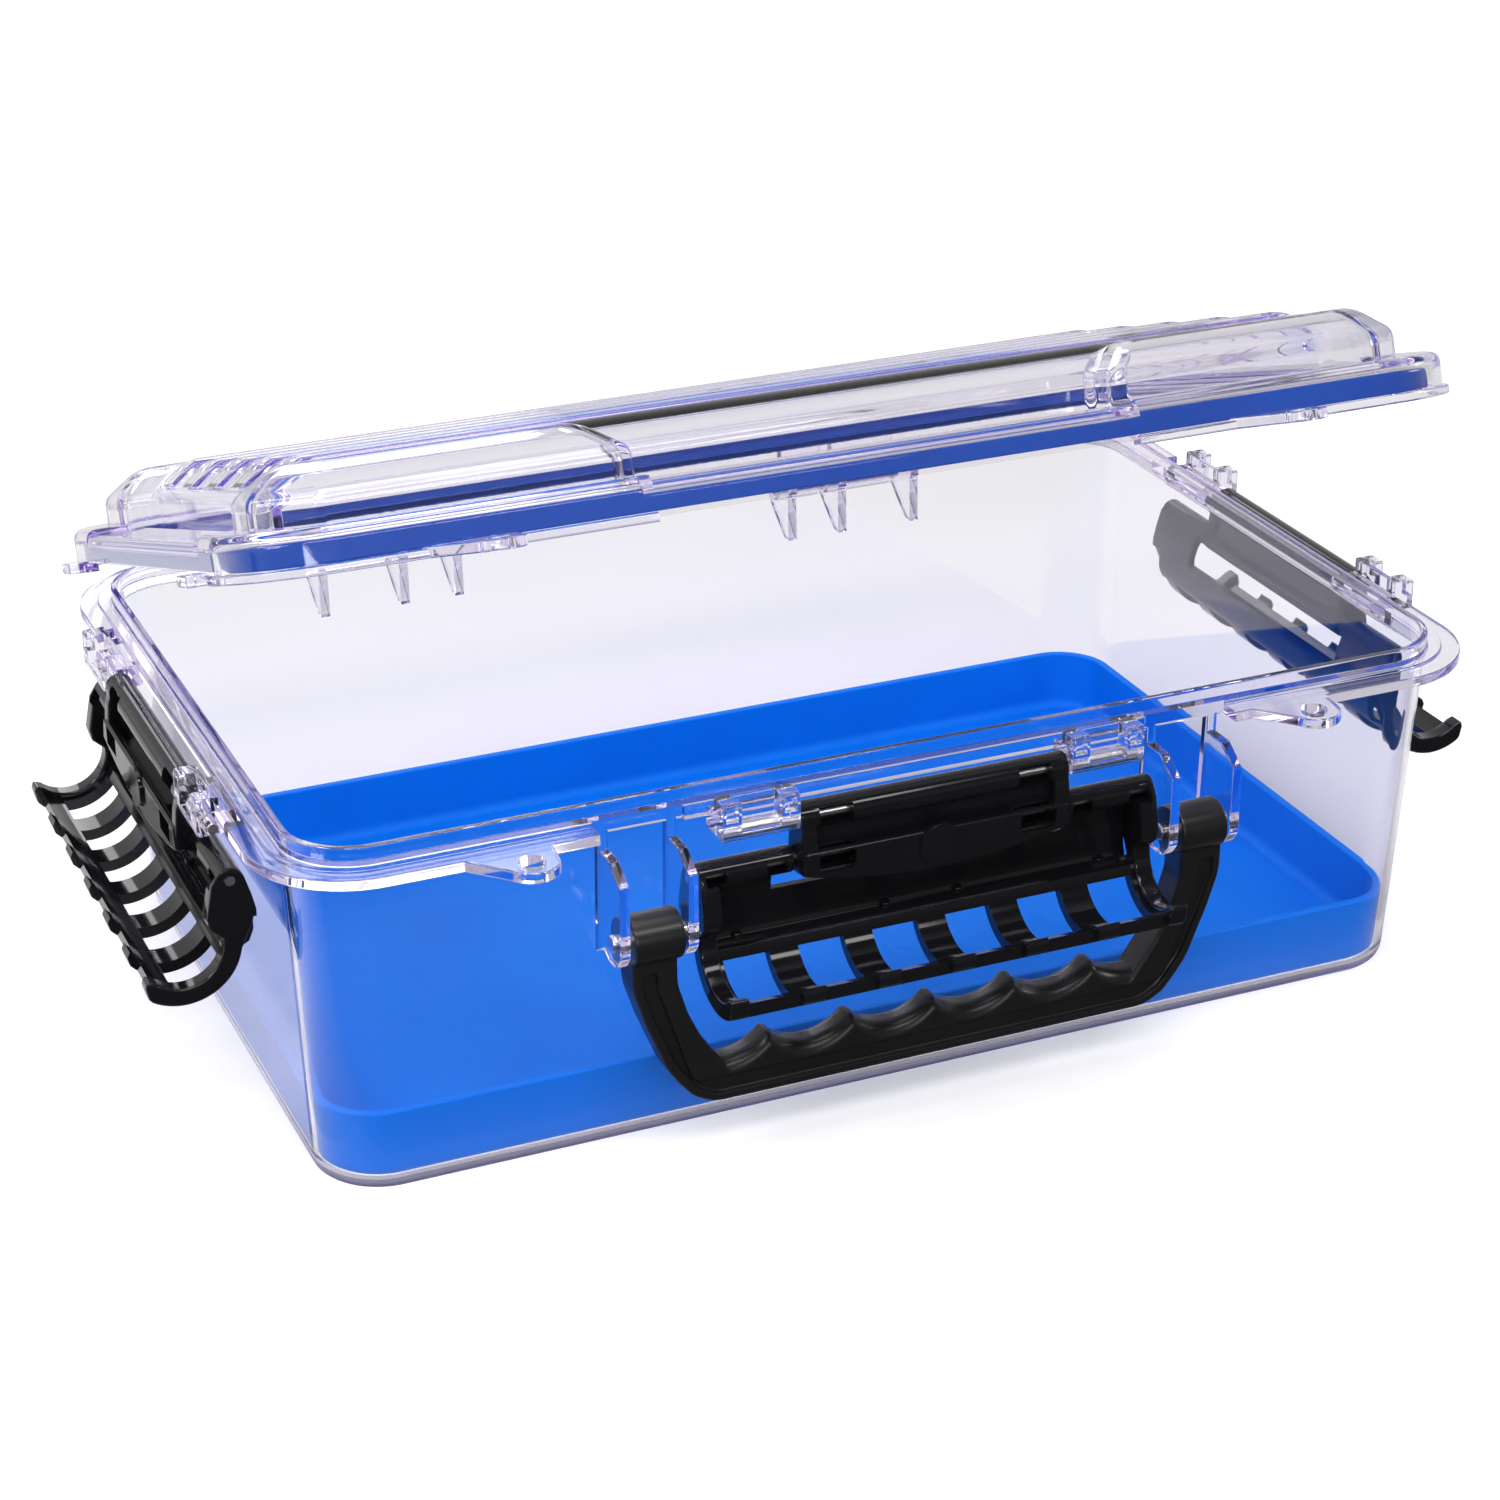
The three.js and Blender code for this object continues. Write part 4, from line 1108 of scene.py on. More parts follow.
    def trims(self) -> list[bpy.types.Object]:
        """Makes what stands on the shell: seal walls, bead, hinge arms, eyelets and tabs.

        Returns:
            The solids.
        """
        trims = [
            rim_band("seal_wall", [(12.4, 4.6, 0.3), (14.9, 4.6, 0.3), (14.9, 10.3, 0), (12.4, 10.3, 0)]),
            rim_band("seal_rib", [(8.9, 6.8, 0.3), (10.1, 6.8, 0.3), (10.1, 9.8, 0), (8.9, 9.8, 0)]),
            self.bead()]
        trims += [self.hinge_arm(*ends) for arm in self.arms for ends in both_halves(arm)]
        return trims + [eyelet(x, 0, 3.1) for x in SIZES.eyelets] + self.tabs()

    def cuts(self) -> list[bpy.types.Object]:
        """Makes the cutters for the hinge bore, the eyelets' holes and the relief over each latch.

        Returns:
            The cutters.
        """
        reach = (-SIZES.latch_gap, SIZES.latch_gap)
        reliefs = []
        for side in Side:
            height = self.front_relief if side is Side.FRONT else self.end_relief
            reliefs.append(on_side(brick("relief", reach, (-self.relief_inset, PAST), (-1, height)), side))
        return [hinge_bore(SIZES.hinge_z - SIZES.lid_seam), *eyelet_holes(-1, 4.1), *reliefs]

    def bead(self) -> bpy.types.Object:
        """Makes the bead along the lower edge, open at the latches."""
        bead = rim_band("bead", [(0, 0, 0.6), (2.7, 0, 0), (2.7, 2.6, 0), (0, 2.6, 0.8)])
        return combine(bead, "DIFFERENCE", *latch_gaps(SIZES.lid_skirt, (-1, 3.6)))

    def hinge_arm(self, start: float, end: float) -> bpy.types.Object:
        """Makes one arm from the rear skirt round a hinge pin.

        Args:
            start: Its lower end along X.
            end: Its upper end along X.

        Returns:
            The arm, without its bore.
        """
        y, down = SIZES.hinge_y, SIZES.hinge_z - SIZES.lid_seam
        section = [
            (115.5, 0.3), (118.3, 0.3), *arc(y, down, 3.7, 180, 360, 20), (y + 3.7, down + 6), (117.3, 8),
            (115.5, 8)]
        return soften(prism("arm", section, start, end, 1), 0.3 * MM)

    def tabs(self) -> list[bpy.types.Object]:
        """Makes the tabs on the end edges beside the latches.

        Returns:
            The tabs, two on each end.
        """
        out = (SIZES.half_length - 3, SIZES.half_length + 4.4)
        return [
            soften(brick("tab", ends, (-y - self.tab_length, -y), (0, 3.2)), 0.5 * MM, 3)
            for y in self.tab_places for ends in both_halves(out)]


def open_lid(piece: bpy.types.Object) -> bpy.types.Object:
    """Takes a piece from the closed lid's own heights to where the lid stands open.

    Args:
        piece: The piece.

    Returns:
        The same piece.
    """
    hinge = Matrix.Translation((0, SIZES.hinge_y, SIZES.hinge_z))
    swing = Matrix.Rotation(math.radians(-SIZES.lid_angle), 4, "X")
    seat = Matrix.Translation((0, -SIZES.hinge_y, SIZES.lid_seam - SIZES.hinge_z))
    return moved(piece, hinge @ swing @ seat)


def row_of_copies(piece: bpy.types.Object, count: int, step: Point) -> bpy.types.Object:
    """Repeats a piece in a row by Geometry Nodes.

    Args:
        piece: The piece, in the middle of the row.
        count: Number of copies.
        step: From one copy to the next, in metres.

    Returns:
        The same object, with all copies in its mesh.
    """
    tree = bpy.data.node_groups.new("row_of_copies", "GeometryNodeTree")
    face = tree.interface
    face.new_socket("Geometry", in_out="INPUT", socket_type="NodeSocketGeometry")
    number = face.new_socket("Count", in_out="INPUT", socket_type="NodeSocketInt")
    pitch = face.new_socket("Step", in_out="INPUT", socket_type="NodeSocketVector")
    first = face.new_socket("Start", in_out="INPUT", socket_type="NodeSocketVector")
    face.new_socket("Geometry", in_out="OUTPUT", socket_type="NodeSocketGeometry")
    source, target = add_node(tree, "NodeGroupInput"), add_node(tree, "NodeGroupOutput")
    line = add_node(tree, "GeometryNodeMeshLine", mode="OFFSET")
    copies = add_node(tree, "GeometryNodeInstanceOnPoints")
    whole = add_node(tree, "GeometryNodeRealizeInstances")
    for output, socket in (
        (source.outputs["Count"], line.inputs["Count"]),
        (source.outputs["Start"], line.inputs["Start Location"]),
        (source.outputs["Step"], line.inputs["Offset"]),
        (line.outputs["Mesh"], copies.inputs["Points"]),
        (source.outputs["Geometry"], copies.inputs["Instance"]),
        (copies.outputs["Instances"], whole.inputs["Geometry"]),
        (whole.outputs["Geometry"], target.inputs["Geometry"]),
    ):
        tree.links.new(output, socket)
    row = piece.modifiers.new("row", "NODES")
    row.node_group = tree
    row[number.identifier] = count
    row[pitch.identifier] = step
    row[first.identifier] = [-part * (count - 1) / 2 for part in step]
    settle_modifiers(piece)
    return piece


@dataclass
class SoftBlue:
    """The lid's seal and the tray in the tub.

    Attributes:
        finishes: The case's materials.
        seal_gap: Space between the seal and the lid's inner faces at a latch.
    """

    finishes: Finishes
    seal_gap: float = 0.3

    def build(self) -> None:
        """Builds both pieces."""
        self.seal()
        self.tray()

    def seal(self) -> None:
        """Builds the gasket, a cross in section, which gives way to the recess of each latch."""
        seal = rim_band("gasket", [
            (6.3, 2.5, 0.6), (8.6, 2.5, 0.6), (8.6, 4.5, 0.2), (12.1, 4.5, 0.4), (12.1, 6.5, 0.4),
            (8.6, 6.5, 0.2), (8.6, 9.5, 0.5), (6.3, 9.5, 0.5)])
        recesses = (latch_recess(side, SIZES.lid_wall + self.seal_gap) for side in Side)
        combine(seal, "DIFFERENCE", *recesses)
        finish_piece(shade(open_lid(seal)), "lid", "seal_rubber", self.finishes.seal, "lid_seal")

    def tray(self) -> None:
        """Builds the open tray on the tub's floor."""
        under, floor, rim = 2.5, 5.1, 24.5
        outer, inner = 12.1, 14.7
        profile = rounded_path([
            (25, under, 0), (outer, under, 5), (outer, rim, 0.7), (inner, rim, 0.7), (inner, floor, 3.4),
            (24, floor, 0)], 8, closed=False)
        tray = vessel("tray", profile)
        finish_piece(shade(tray), "case", "tray_blue", self.finishes.tray, "base_liner")


# Black mouldings


@dataclass
class Latch:
    """One latch: a lever on the tub and a claw on the lever, each built about its own pin.

    Sections are in (outward, up) from the pin of the moulding that they belong to.

    Attributes:
        side: The edge that carries the latch.
        finishes: The case's materials.
        lever_half: Half the lever's length.
        lever_front: Front of the lever's end cheeks.
        claw_half: Half the claw's length.
        claw_inner: Inner face of the claw's cheeks.
        pitch: From one hook strip to the next.
        strip: Half the width of a hook strip.
        claw_pin: The claw's pin, outward and up from the lever's.
        hook: Middle of the hook's curve, outward and up from the claw's pin.
        bore: Radius of both pins' bores.
        sharp: Smallest angle that stays a sharp edge in the shading, in degrees.
    """

    side: Side
    finishes: Finishes
    lever_half: float = 40.5
    lever_front: float = 5.2
    claw_half: float = 69.2
    claw_inner: float = 63.9
    pitch: float = 22.3
    strip: float = 4.3
    claw_pin: Range = (-2.0, -13.0)
    hook: Range = (14.5, -18.0)
    bore: float = 1.8
    sharp: float = 40.0

    def build(self) -> None:
        """Builds the lever and the claw and takes them to their place."""
        out, up = SIZES.latch_pin
        seat = Matrix.Translation((0, -out, up))
        swing = seat @ Matrix.Translation((0, -self.claw_pin[0], self.claw_pin[1]))
        for part, piece, place in (("lever", self.lever(), seat), ("claw", self.claw(), swing)):
            label = self.side.label
            on_side(moved(piece, place), self.side)
            shade(piece, self.sharp)
            finish_piece(
                piece, f"{label}_{part}", "latch_black", self.finishes.black, f"{label}_latch_{part}")

    def lever(self) -> bpy.types.Object:
        """Makes the lever: two barrels, a waist, end cheeks and the finger crescent with its disc.

        Returns:
            The lever, about its own pin.
        """
        half, (out, up), front = self.lever_half, self.claw_pin, self.lever_front
        lip = front + 0.6
        waist = [(-2.6, 2), (-5, up), (-3.4, up - 3.4), (1.4, up - 3.6), (1.2, 2)]
        cheek = rounded_path([
            (-4.06, 1.1, 0), (-2.4, 3.9, 4), (2.4, 4.1, 4), (front - 0.6, -4, 6), (front, up + 2, 3),
            (front - 0.5, up - 3, 2), (-1, up - 4, 1.5), (-5, up - 2.5, 1.5), (-5.4, up + 2, 2)], 4)
        fairing = [(-1, up - 3.4), (lip - 1, up - 2), (lip - 1, up + 3.6), (-1, up + 3.4)]
        lever = self.crescent(lip)
        trims = [
            soften(bar("barrel", 4.2, (-half, half), 0, 0), 0.6 * MM),
            soften(bar("barrel", 4.1, (-half, half), out, up), 0.6 * MM),
            prism("waist", waist, 0.2 - half, half - 0.2),
            soften(prism("fairing", fairing, -24, 24), 0.8 * MM),
            soften(slab("disc", circle(0, up - 0.4, 6.2), lip - 1, lip + 1), 0.35 * MM)]
        trims += [
            soften(prism("cheek", cheek, *ends), 0.7 * MM, 3) for ends in both_halves((half - 4.5, half))]
        combine(lever, "UNION", *trims)
        return combine(lever, "DIFFERENCE", *self.lever_cuts(front + 4))

    def crescent(self, lip: float) -> bpy.types.Object:
        """Makes the curved finger plate along the lever's foot.

        Args:
            lip: Its front face.

        Returns:
            The plate.
        """
        up, half, low = self.claw_pin[1], 41, 21.1
        sag = low + up - 2.6
        radius = (half * half + sag * sag) / (2 * sag)
        reach = math.degrees(math.asin(half / radius))
        outline = [
            (-half, up - 2.6), *arc(0, radius - low, radius, 270 - reach, 270 + reach, 24)[1:-1],
            (half, up - 2.6), (39.5, up + 4), (-39.5, up + 4)]
        return soften(slab("lever_moulding", outline, lip - 2.4, lip), 0.8 * MM, 3)

    def lever_cuts(self, past: float) -> list[bpy.types.Object]:
        """Makes the notches that show the pins, and the pins' bores.

        Args:
            past: A place outward of the lever's front.

        Returns:
            The cutters.
        """
        reach, (out, up) = self.lever_half + 1, self.claw_pin
        cuts = [brick("notch", ends, (-0.6, past), (-2.9, 2.9)) for ends in both_halves((25, 35))]
        cuts += [
            brick("notch", ends, (out - 0.6, past), (up - 2.4, up + 3.4)) for ends in both_halves((25, 35.8))]
        return cuts + [bar("bore", self.bore, (-reach, reach), *pin) for pin in ((0, 0), (out, up))]

    def claw(self) -> bpy.types.Object:
        """Makes the claw: hook strips under a rounded rail, cheeks, and barrels on their bridges.

        Returns:
            The claw, about its own pin.
        """
        half, inner, neck = self.claw_half, self.claw_inner, self.lever_half + 0.9
        claw = prism("claw_moulding", self.strip_section(), -inner - 0.5, inner + 0.5)
        soften(combine(claw, "DIFFERENCE", *self.strip_gaps()), 0.45 * MM)
        cheek, bridge, end = self.cheek_section(), self.bridge_section(), half - 0.1
        trims = [soften(prism("cheek", cheek, *ends), 0.7 * MM, 3) for ends in both_halves((inner, half))]
        trims += [soften(bar("barrel", 3.8, ends, 0, 0), 0.5 * MM) for ends in both_halves((neck, end))]
        trims += [prism("bridge", bridge, *ends) for ends in both_halves((self.lever_half + 4.5, end))]
        step = [(-3.5, -20.5), (-1.5, -21), (-1.5, -23.5), (-3.5, -23.5)]
        for place in (-2.5, -0.5, 0.5, 2.5):
            x = place * self.pitch
            trims.append(soften(prism("step", step, x - 1.2, x + 1.2), 0.3 * MM))
        combine(claw, "UNION", *trims)
        notches = [
            brick("notch", ends, (-0.4, 8), (-2.6, 1.4))
            for notch in ((neck + 2, neck + 8), (half - 8, half - 1.6)) for ends in both_halves(notch)]
        bore = bar("bore", self.bore, (-half - 1, half + 1), 0, 0)
        return combine(claw, "DIFFERENCE", *notches, bore)

    def strip_gaps(self) -> list[bpy.types.Object]:
        """Makes the cutters for the windows between the hook strips and the gaps between their tips.

        Returns:
            The cutters, two for each gap.
        """
        window = rounded_path(
            [(-8, -25.4, 0), (8, -25.4, 1), (17.6, -31.4, 1), (17.6, -40, 0), (-8, -40, 0)], 4)
        tips = [(22.6, -20), (28, -20), (28, -40), (22.6, -40)]
        cuts = []
        for i in range(6):
            middle = (i - 2.5) * self.pitch
            for section, margin in ((window, 0.0), (tips, 1.0)):
                reach = self.pitch / 2 - self.strip + margin
                start, end = max(middle - reach, -self.claw_inner), min(middle + reach, self.claw_inner)
                cuts.append(prism("gap", section, start, end))
        return cuts

    def cheek_section(self) -> Outline:
        """Lists the side view of the claw's end cheek."""
        x, y = self.hook
        return [
            *arc(0, 0, 3.8, 30, 170, 14), (-5.6, -5), (-6.4, -9.9), (-5.5, -13.5),
            *arc(x, y, 16.8, 190, 303, 24), (24.5, -31), (25.2, -27.6), (24.6, -25.8),
            *arc(x, y, 11.6, 312, 176, 24), (6.4, -14), (7.1, -10.4), (6.4, -7), (5.2, -1)]

    def strip_section(self) -> Outline:
        """Lists the side view of the hook strips, the rail over their windows and the plate above it."""
        x, y = self.hook
        return [
            (-6.6, -10.8), (-6.6, -18), (-5.2, -21.4), *arc(x, y, 16.8, 199, 300, 24), (24.4, -31),
            (25, -28.6), (24.2, -26.9), *arc(x, y, 13.4, 312, 201, 24), (0.8, -22.3),
            *arc(-2.2, -23.4, 1.7, 60, 130, 4), (-4.4, -19), (-4.4, -10.8)]

    def bridge_section(self) -> Outline:
        """Lists the side view of the walls that join the plate to the barrels."""
        return [
            (-3.8, 1), (-5.6, -5), (-6.6, -9.5), (-6.6, -11.8), (-4.4, -11.8), (-4.4, -8.5), (-3.4, -5),
            (-1.4, -1.5), (0, 0)]


@dataclass
class CarryHandle:
    """The folding handle, with a rounded finger rail over a panel inside a raised border.

    Attributes:
        finishes: The case's materials.
        half: Half its length.
        thickness: From its back to its front.
        bottom: Height of its lower edge from the pins.
        cusp: Height of the cusps between the fingers.
        pitch: Width of one finger.
        depth: Depth of a finger's hollow.
        fingers: Number of hollows.
        arm: Width of an arm.
        eye: Outer radius of its eyes.
    """

    finishes: Finishes
    half: float = 90.0
    thickness: float = 10.6
    bottom: float = -53.2
    cusp: float = -35.5
    pitch: float = 25.0
    depth: float = 5.7
    fingers: int = 6
    arm: float = 13.0
    eye: float = 7.2

    def build(self) -> None:
        """Builds the handle about its pins, then takes it to its place."""
        half, (out, up) = self.half, SIZES.handle_pin
        front = self.thickness / 2 - out + 1
        back = front - self.thickness
        handle = soften(slab("grip_handle", self.outline(), back, front), 1.3 * MM, 3)
        combine(handle, "UNION", self.rail(back, front))
        combine(handle, "DIFFERENCE", self.panel(front))
        eyes = [
            soften(bar("eye", self.eye, ends, 0, 0), 0.9 * MM) for ends in both_halves((half - 14.4, half))]
        combine(handle, "UNION", *eyes)
        combine(handle, "DIFFERENCE", bar("bore", SIZES.handle_bore, (-half - 1, half + 1), 0, 0))
        moved(handle, Matrix.Translation((0, -SIZES.half_width - out, up)))
        finish_piece(shade(handle), "handle", "handle_black", self.finishes.satin, "carry_handle")

    def outline(self) -> Outline:
        """Lists the front view of the arms and the grip below its finger rail.

        Returns:
            The closed outline in (across, up).
        """
        half, inner, low = self.half, self.half - self.arm, self.bottom
        outside = [
            (inner, 0, 0), (half, 0, 0), (half, -14, 20), (half - 3.5, -25, 20), (half - 9.5, -40, 20),
            (half - 12.5, -44.5, 10), (half - 17, low + 3.2, 9), (half - 23, low, 12)]
        inside = [(inner - 15, -44, 3), (inner - 6.5, -31.5, 6), (inner - 3, -24, 8), (inner, -14, 12)]
        flip = [[(-x, z, radius) for x, z, radius in corners[::-1]] for corners in (outside, inside)]
        return rounded_path(outside + flip[0] + flip[1] + inside, 6)

    def crest(self, x: float) -> float:
        """Gives the height of the finger rail: hollows between cusps, rising into the arms.

        Args:
            x: Place along the handle.

        Returns:
            The height from the pins.
        """
        pitch, depth = self.pitch, self.depth
        end = pitch * self.fingers / 2
        if abs(x) > end:
            return self.cusp + 0.35 * (abs(x) - end)
        radius = pitch * pitch / (8 * depth) + depth / 2
        across = (x + end) % pitch - pitch / 2
        hollow = self.cusp - depth + radius - math.sqrt(radius * radius - across * across)
        return min(hollow, self.cusp - 0.4)

    def rail(self, back: float, front: float) -> bpy.types.Object:
        """Makes the rounded finger rail along the top of the grip.

        Args:
            back: Its back face, outward from the pins.
            front: Its front face.

        Returns:
            The rail.
        """
        reach, steps, foot = self.half - self.arm - 7.5, 139, -47
        rings = []
        for i in range(steps + 1):
            x = reach * (2 * i / steps - 1)
            top = self.crest(x)
            section = [
                (back, foot), *arc(back + 3.8, top - 3.8, 3.8, 180, 90, 6),
                *arc(front - 4.4, top - 4.4, 4.4, 90, 0, 8), (front, foot)]
            rings.append([(x, -out, up) for out, up in section])
        return skin("rail", rings)

    def panel(self, front: float) -> bpy.types.Object:
        """Makes the cutter for the shallow panel inside the border, with a rolled edge.

        Args:
            front: The handle's front face, outward from the pins.

        Returns:
            The cutter.
        """
        half, low, border = self.half, self.bottom + 2.6, 2.6
        right = [
            (half - 24, low, 9), (half - 18.5, low + 3, 8), (half - 12, -39, 16), (half - 6, -24, 16),
            (half - border, -14, 8), (half - border, -9, 1.5), (half - 7, -9, 1.5), (half - 7, -14, 8),
            (half - 10.5, -25, 14), (half - 17, -45.2, 4)]
        plan = rounded_path(right + [(-x, z, radius) for x, z, radius in right[::-1]], 5)
        edge = ((0.45, 1.5), (0.1, 1.25), (0, 0.9), (0, 0.5), (-0.15, 0.2), (-0.5, 0), (-0.5, -1))
        rings = [[(x, depth - front, z) for x, z in offset_path(plan, inset)] for inset, depth in edge]
        return skin("panel", rings)


@dataclass
class Pins:
    """The steel pins, which keep their CAD meshes."""

    finishes: Finishes

    def build(self) -> None:
        """Gives each pin its steel."""
        for name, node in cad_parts.items():
            if "_pin" in name:
                node.data.materials.clear()
                node.data.materials.append(self.finishes.steel)
                LOG.info("%s has its finish", name)


# Stage


@dataclass(frozen=True)
class Softbox:
    """A level area lamp.

    Attributes:
        name: Name of the lamp.
        place: Where it stands, in metres.
        aim: The point that it faces.
        size: Its width and height in metres.
        power: Power in watts.
    """

    name: str
    place: Point
    aim: Point
    size: Range
    power: float

    def build(self) -> None:
        """Adds the lamp to the scene."""
        data = bpy.data.lights.new(self.name, "AREA")
        data.shape = "RECTANGLE"
        data.size, data.size_y = self.size
        data.energy = self.power
        lamp = bpy.data.objects.new(self.name, data)
        facing = (Vector(self.aim) - Vector(self.place)).to_track_quat("-Z", "Y")
        lamp.matrix_world = Matrix.Translation(self.place) @ facing.to_matrix().to_4x4()
        bpy.context.scene.collection.objects.link(lamp)


LAMPS = (
    Softbox("top_softbox", (0.0, -0.1, 1.5), (0, 0, 0), (0.8, 0.8), 5.0),
    Softbox("left_softbox", (-1.5, -0.5, 0.9), (0, 0, 0.05), (0.5, 0.5), 5.0),
    Softbox("right_softbox", (1.6, -0.4, 0.8), (0, 0, 0.05), (0.5, 0.5), 4.5),
    Softbox("back_softbox", (0.1, 1.6, 0.9), (0, 0, 0.05), (0.8, 0.8), 5.0),
    Softbox("front_strip", (-0.1, -1.0, 1.25), (0, -0.12, 0.08), (1.5, 0.28), 9.0),
    Softbox("low_strip", (-0.3, -1.5, 0.5), (0, -0.12, 0.08), (1.2, 0.12), 3.2),
    Softbox("left_strip", (-1.1, -0.2, 0.95), (-0.19, 0, 0.08), (1.0, 0.16), 4.0),
)


@dataclass(frozen=True)
class PhotoCamera:
    """The camera at the photograph's viewpoint.

    Attributes:
        sensor: Width of the sensor in millimetres.
        focal_pixels: Focal length in pixels of the photograph.
        azimuth: Turn about Z in degrees.
        elevation: Height in degrees.
        roll: Roll in degrees.
        distance: From the camera to the plane through the origin, in metres.
        shift: Place along its own right and up axes, in metres.
    """

    sensor: float = 36.0
    focal_pixels: float = 3461.0
    azimuth: float = -23.161
    elevation: float = 25.044
    roll: float = -0.34
    distance: float = 1.083548
    shift: Range = (-0.002833, 0.053749)

    def build(self) -> None:
        """Adds the camera and makes it the scene's."""
        a, e, r = (math.radians(v) for v in (self.azimuth, self.elevation, self.roll))
        back = Vector((math.sin(a) * math.cos(e), -math.cos(a) * math.cos(e), math.sin(e)))
        level = Vector((math.cos(a), math.sin(a), 0))
        upright = back.cross(level)
        right = level * math.cos(r) + upright * math.sin(r)
        up = upright * math.cos(r) - level * math.sin(r)
        data = bpy.data.cameras.new("photo_camera")
        data.sensor_width = self.sensor
        data.lens = self.sensor * self.focal_pixels / IMAGE_SIDE
        data.clip_start, data.clip_end = 0.02, 60.0
        camera = bpy.data.objects.new("photo_camera", data)
        turn = Matrix((right, up, back)).transposed().to_4x4()
        place = back * self.distance + right * self.shift[0] + up * self.shift[1]
        camera.matrix_world = Matrix.Translation(place) @ turn
        bpy.context.scene.collection.objects.link(camera)
        bpy.context.scene.camera = camera


def through_gloss(tree: bpy.types.NodeTree, rays: bpy.types.Node) -> bpy.types.NodeSocket:
    """Adds a node that gives 1 on rays that left a shiny or a clear surface."""
    return math_node(tree, "MAXIMUM", rays.outputs["Is Glossy Ray"], rays.outputs["Is Transmission Ray"])


def once_reflected(tree: bpy.types.NodeTree, rays: bpy.types.Node) -> bpy.types.NodeSocket:
    """Adds a node that gives 1 on rays that have been reflected."""
    return math_node(tree, "GREATER_THAN", rays.outputs["Glossy Depth"], 0.5)


@dataclass(frozen=True)
class Floor:
    """The pale floor, which keeps the case's shadow and shows white.

    Attributes:
        half: Half its width in metres.
        drop: How far it lies under the case, in millimetres.
        grey: Its colour.
        near_glow: What the camera sees of it beside the case.
        glow_range: Distances over which that rises to white, in metres.
        under: Half sizes of what the case covers, in metres.
        painted_light_under: Painted light on it there, seen through the case, which lifts the case's shadow.
        through_glow: Its brightness elsewhere, seen through the case.
        painted_dark_reflection: Brightness of its front part in reflections, a painted dark reflection.
        painted_reflection_range: Where along Y that part starts and ends, in metres.
    """

    half: float = 40.0
    drop: float = 0.1
    grey: float = 0.8
    near_glow: float = 0.34
    glow_range: Range = (0.35, 1.3)
    under: Range = (0.186, 0.119)
    painted_light_under: float = 0.62
    through_glow: float = 0.1
    painted_dark_reflection: float = 0.05
    painted_reflection_range: Range = (-0.14, -0.03)

    def build(self) -> None:
        """Lays the floor."""
        half = self.half
        data = bpy.data.meshes.new("studio_floor")
        corners = [(-half, -half, 0), (half, -half, 0), (half, half, 0), (-half, half, 0)]
        data.from_pydata(corners, [], [(0, 1, 2, 3)])
        data.materials.append(self.material())
        floor = bpy.data.objects.new("studio_floor", data)
        floor.location.z = -self.drop * MM
        bpy.context.scene.collection.objects.link(floor)

    def material(self) -> bpy.types.Material:
        """Builds the floor's material: its shaded surface with the glow, or a painted dark reflection on its
        front part.

        Returns:
            The material.
        """
        material, shader, output = new_material("studio_floor")
        tree = material.node_tree
        shader.inputs["Base Color"].default_value = (self.grey, self.grey, self.grey, 1)
        shader.inputs["Roughness"].default_value = 0.9
        shader.inputs["Specular IOR Level"].default_value = 0.0
        rays = add_node(tree, "ShaderNodeLightPath")
        place = add_node(tree, "ShaderNodeNewGeometry")
        split = add_node(tree, "ShaderNodeSeparateXYZ")
        tree.links.new(place.outputs["Position"], split.inputs["Vector"])
        glow = add_node(tree, "ShaderNodeEmission")
        strength = self.glow(tree, rays, place, split)
        tree.links.new(strength, glow.inputs["Strength"])
        add = add_node(tree, "ShaderNodeAddShader")
        tree.links.new(shader.outputs["BSDF"], add.inputs[0])
        tree.links.new(glow.outputs["Emission"], add.inputs[1])
        # Painted reflection: the floor's front part shows dark in reflections, though the camera sees it
        # pale.
        painted_dark_reflection = add_node(tree, "ShaderNodeEmission")
        painted_dark_reflection.inputs["Strength"].default_value = self.painted_dark_reflection
        front = ramp_between(tree, split.outputs["Y"], self.painted_reflection_range, (1.0, 0.0))
        reflected = math_node(tree, "MULTIPLY", through_gloss(tree, rays), once_reflected(tree, rays))
        mixed = add_node(tree, "ShaderNodeMixShader")
        tree.links.new(math_node(tree, "MULTIPLY", reflected, front), mixed.inputs["Fac"])
        tree.links.new(add.outputs["Shader"], mixed.inputs[1])
        tree.links.new(painted_dark_reflection.outputs["Emission"], mixed.inputs[2])
        tree.links.new(mixed.outputs["Shader"], output.inputs["Surface"])
        return material

    def glow(
        self, tree: bpy.types.NodeTree, rays: bpy.types.Node, place: bpy.types.Node, split: bpy.types.Node
    ) -> bpy.types.NodeSocket:
        """Adds nodes for the glow that the camera sees, straight or through the case, with painted light
        under the case.

        Args:
            tree: The material's tree.
            rays: Its Light Path node.
            place: Its Geometry node.
            split: The node that splits the position.

        Returns:
            The strength of the glow.
        """
        length = add_node(tree, "ShaderNodeVectorMath", operation="LENGTH")
        tree.links.new(place.outputs["Position"], length.inputs[0])
        far = ramp_between(tree, length.outputs["Value"], self.glow_range, (self.near_glow, 1.0))
        # Painted light: under the case the floor glows for rays seen through the clear walls, which lifts the
        # case's shadow there.
        covered = [
            math_node(tree, "LESS_THAN", math_node(tree, "ABSOLUTE", split.outputs[axis]), reach)
            for axis, reach in zip("XY", self.under)]
        under = math_node(tree, "MULTIPLY", *covered)
        lit = math_node(
            tree, "MAXIMUM", math_node(tree, "MULTIPLY", under, self.painted_light_under), self.through_glow)
        seen = math_node(tree, "MULTIPLY", rays.outputs["Is Camera Ray"], far)
        through = math_node(tree, "MULTIPLY", rays.outputs["Is Transmission Ray"], lit)
        return math_node(tree, "MAXIMUM", seen, through)


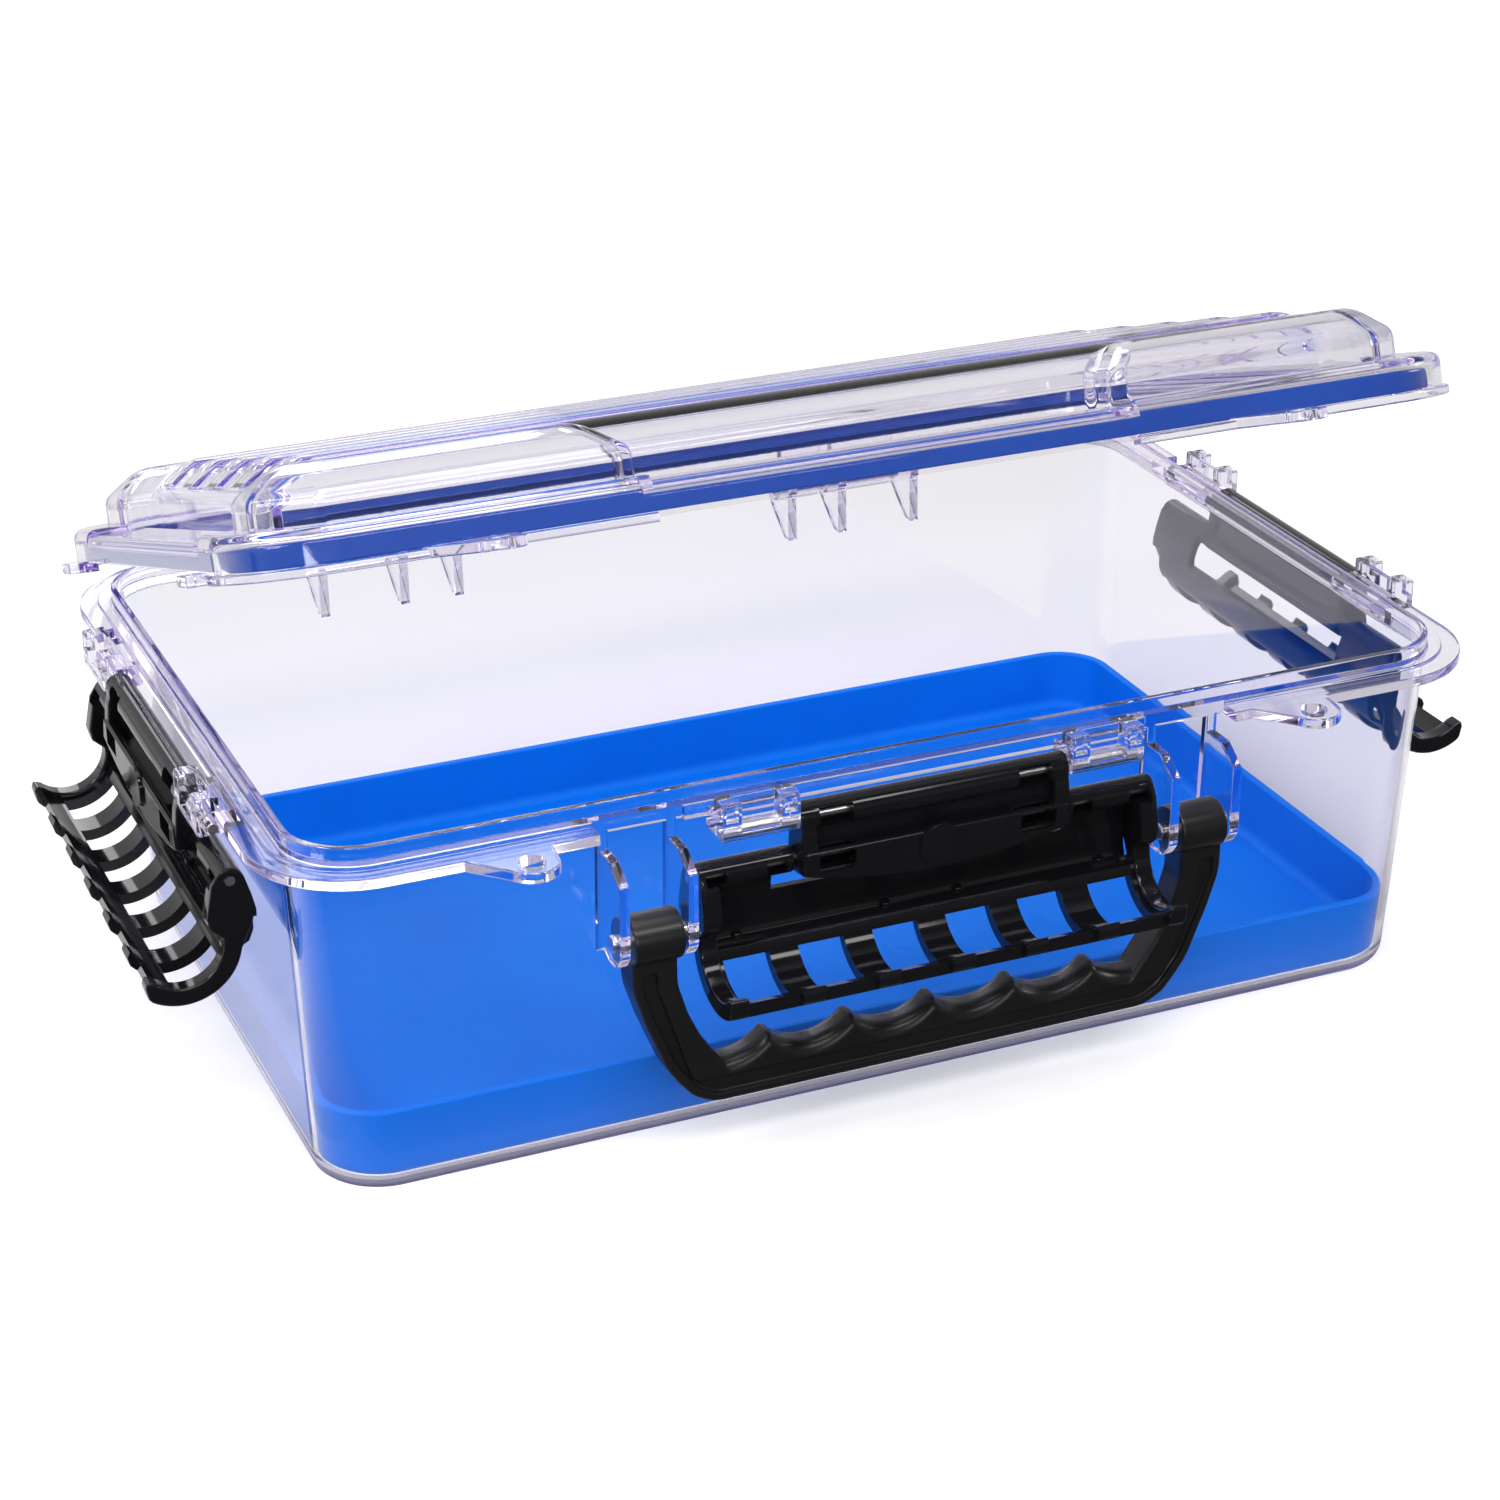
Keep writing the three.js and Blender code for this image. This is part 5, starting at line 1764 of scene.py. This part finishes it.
@dataclass(frozen=True)
class Sky:
    """The plain world, which the camera sees as white.

    Attributes:
        level: Its brightness as light on the case.
        low: Its brightness near the horizon, seen in or through the case.
        high: Its brightness overhead.
        fade_range: Heights over which the one turns into the other.
        front: What its front loses in reflections.
        front_range: Where along Y that loss ends.
        least: Its least brightness.
    """

    level: float = 0.4
    low: float = 0.78
    high: float = 0.56
    fade_range: Range = (0.1, 0.7)
    front: float = -0.58
    front_range: Range = (-0.4, 0.3)
    least: float = 0.05

    def build(self) -> None:
        """Makes the world."""
        world = bpy.data.worlds.new("studio")
        bpy.context.scene.world = world
        world.use_nodes = True
        tree = world.node_tree
        tree.nodes.clear()
        rays = add_node(tree, "ShaderNodeLightPath")
        plain = add_node(tree, "ShaderNodeMix", data_type="FLOAT")
        plain.inputs["A"].default_value = self.level
        tree.links.new(self.shown(tree, rays), plain.inputs["B"])
        first = math_node(tree, "LESS_THAN", rays.outputs["Diffuse Depth"], 0.5)
        shiny = math_node(tree, "MULTIPLY", through_gloss(tree, rays), first)
        tree.links.new(shiny, plain.inputs["Factor"])
        seen = add_node(tree, "ShaderNodeMix", data_type="FLOAT")
        tree.links.new(rays.outputs["Is Camera Ray"], seen.inputs["Factor"])
        tree.links.new(plain.outputs["Result"], seen.inputs["A"])
        seen.inputs["B"].default_value = 1.0
        background = add_node(tree, "ShaderNodeBackground")
        background.inputs["Color"].default_value = (1, 1, 1, 1)
        tree.links.new(seen.outputs["Result"], background.inputs["Strength"])
        output = add_node(tree, "ShaderNodeOutputWorld")
        tree.links.new(background.outputs["Background"], output.inputs["Surface"])

    def shown(self, tree: bpy.types.NodeTree, rays: bpy.types.Node) -> bpy.types.NodeSocket:
        """Adds nodes for the sky that shows in and through the case, darker in front in reflections.

        Args:
            tree: The world's tree.
            rays: Its Light Path node.

        Returns:
            The sky's brightness.
        """
        place = add_node(tree, "ShaderNodeTexCoord")
        split = add_node(tree, "ShaderNodeSeparateXYZ")
        tree.links.new(place.outputs["Generated"], split.inputs["Vector"])
        fade = ramp_between(tree, split.outputs["Z"], self.fade_range, (self.low, self.high))
        front = ramp_between(tree, split.outputs["Y"], self.front_range, (self.front, 0.0))
        dark = math_node(tree, "MULTIPLY", front, once_reflected(tree, rays))
        return math_node(tree, "MAXIMUM", math_node(tree, "ADD", fade, dark), self.least)


@dataclass(frozen=True)
class Stage:
    """Camera, floor, sky and lamps.

    Attributes:
        bounces: How often light may turn in the clear walls.
        glossy_bounces: How often it may be reflected.
    """

    bounces: int = 32
    glossy_bounces: int = 16

    def build(self) -> None:
        """Builds the whole stage."""
        scene = bpy.context.scene
        scene.view_settings.view_transform = "Standard"
        scene.cycles.max_bounces = self.bounces
        scene.cycles.transmission_bounces = self.bounces
        scene.cycles.glossy_bounces = self.glossy_bounces
        for thing in (PhotoCamera(), Floor(), Sky(), *LAMPS):
            thing.build()


def main() -> None:
    """Builds the stage and the case's pieces in order."""
    logging.basicConfig(level=logging.INFO, format="%(name)s: %(message)s")
    finishes = Finishes()
    Stage().build()
    Tub(finishes).build()
    Lid(finishes).build()
    SoftBlue(finishes).build()
    for side in Side:
        Latch(side, finishes).build()
    CarryHandle(finishes).build()
    Pins(finishes).build()


if __name__ == "__main__":
    main()
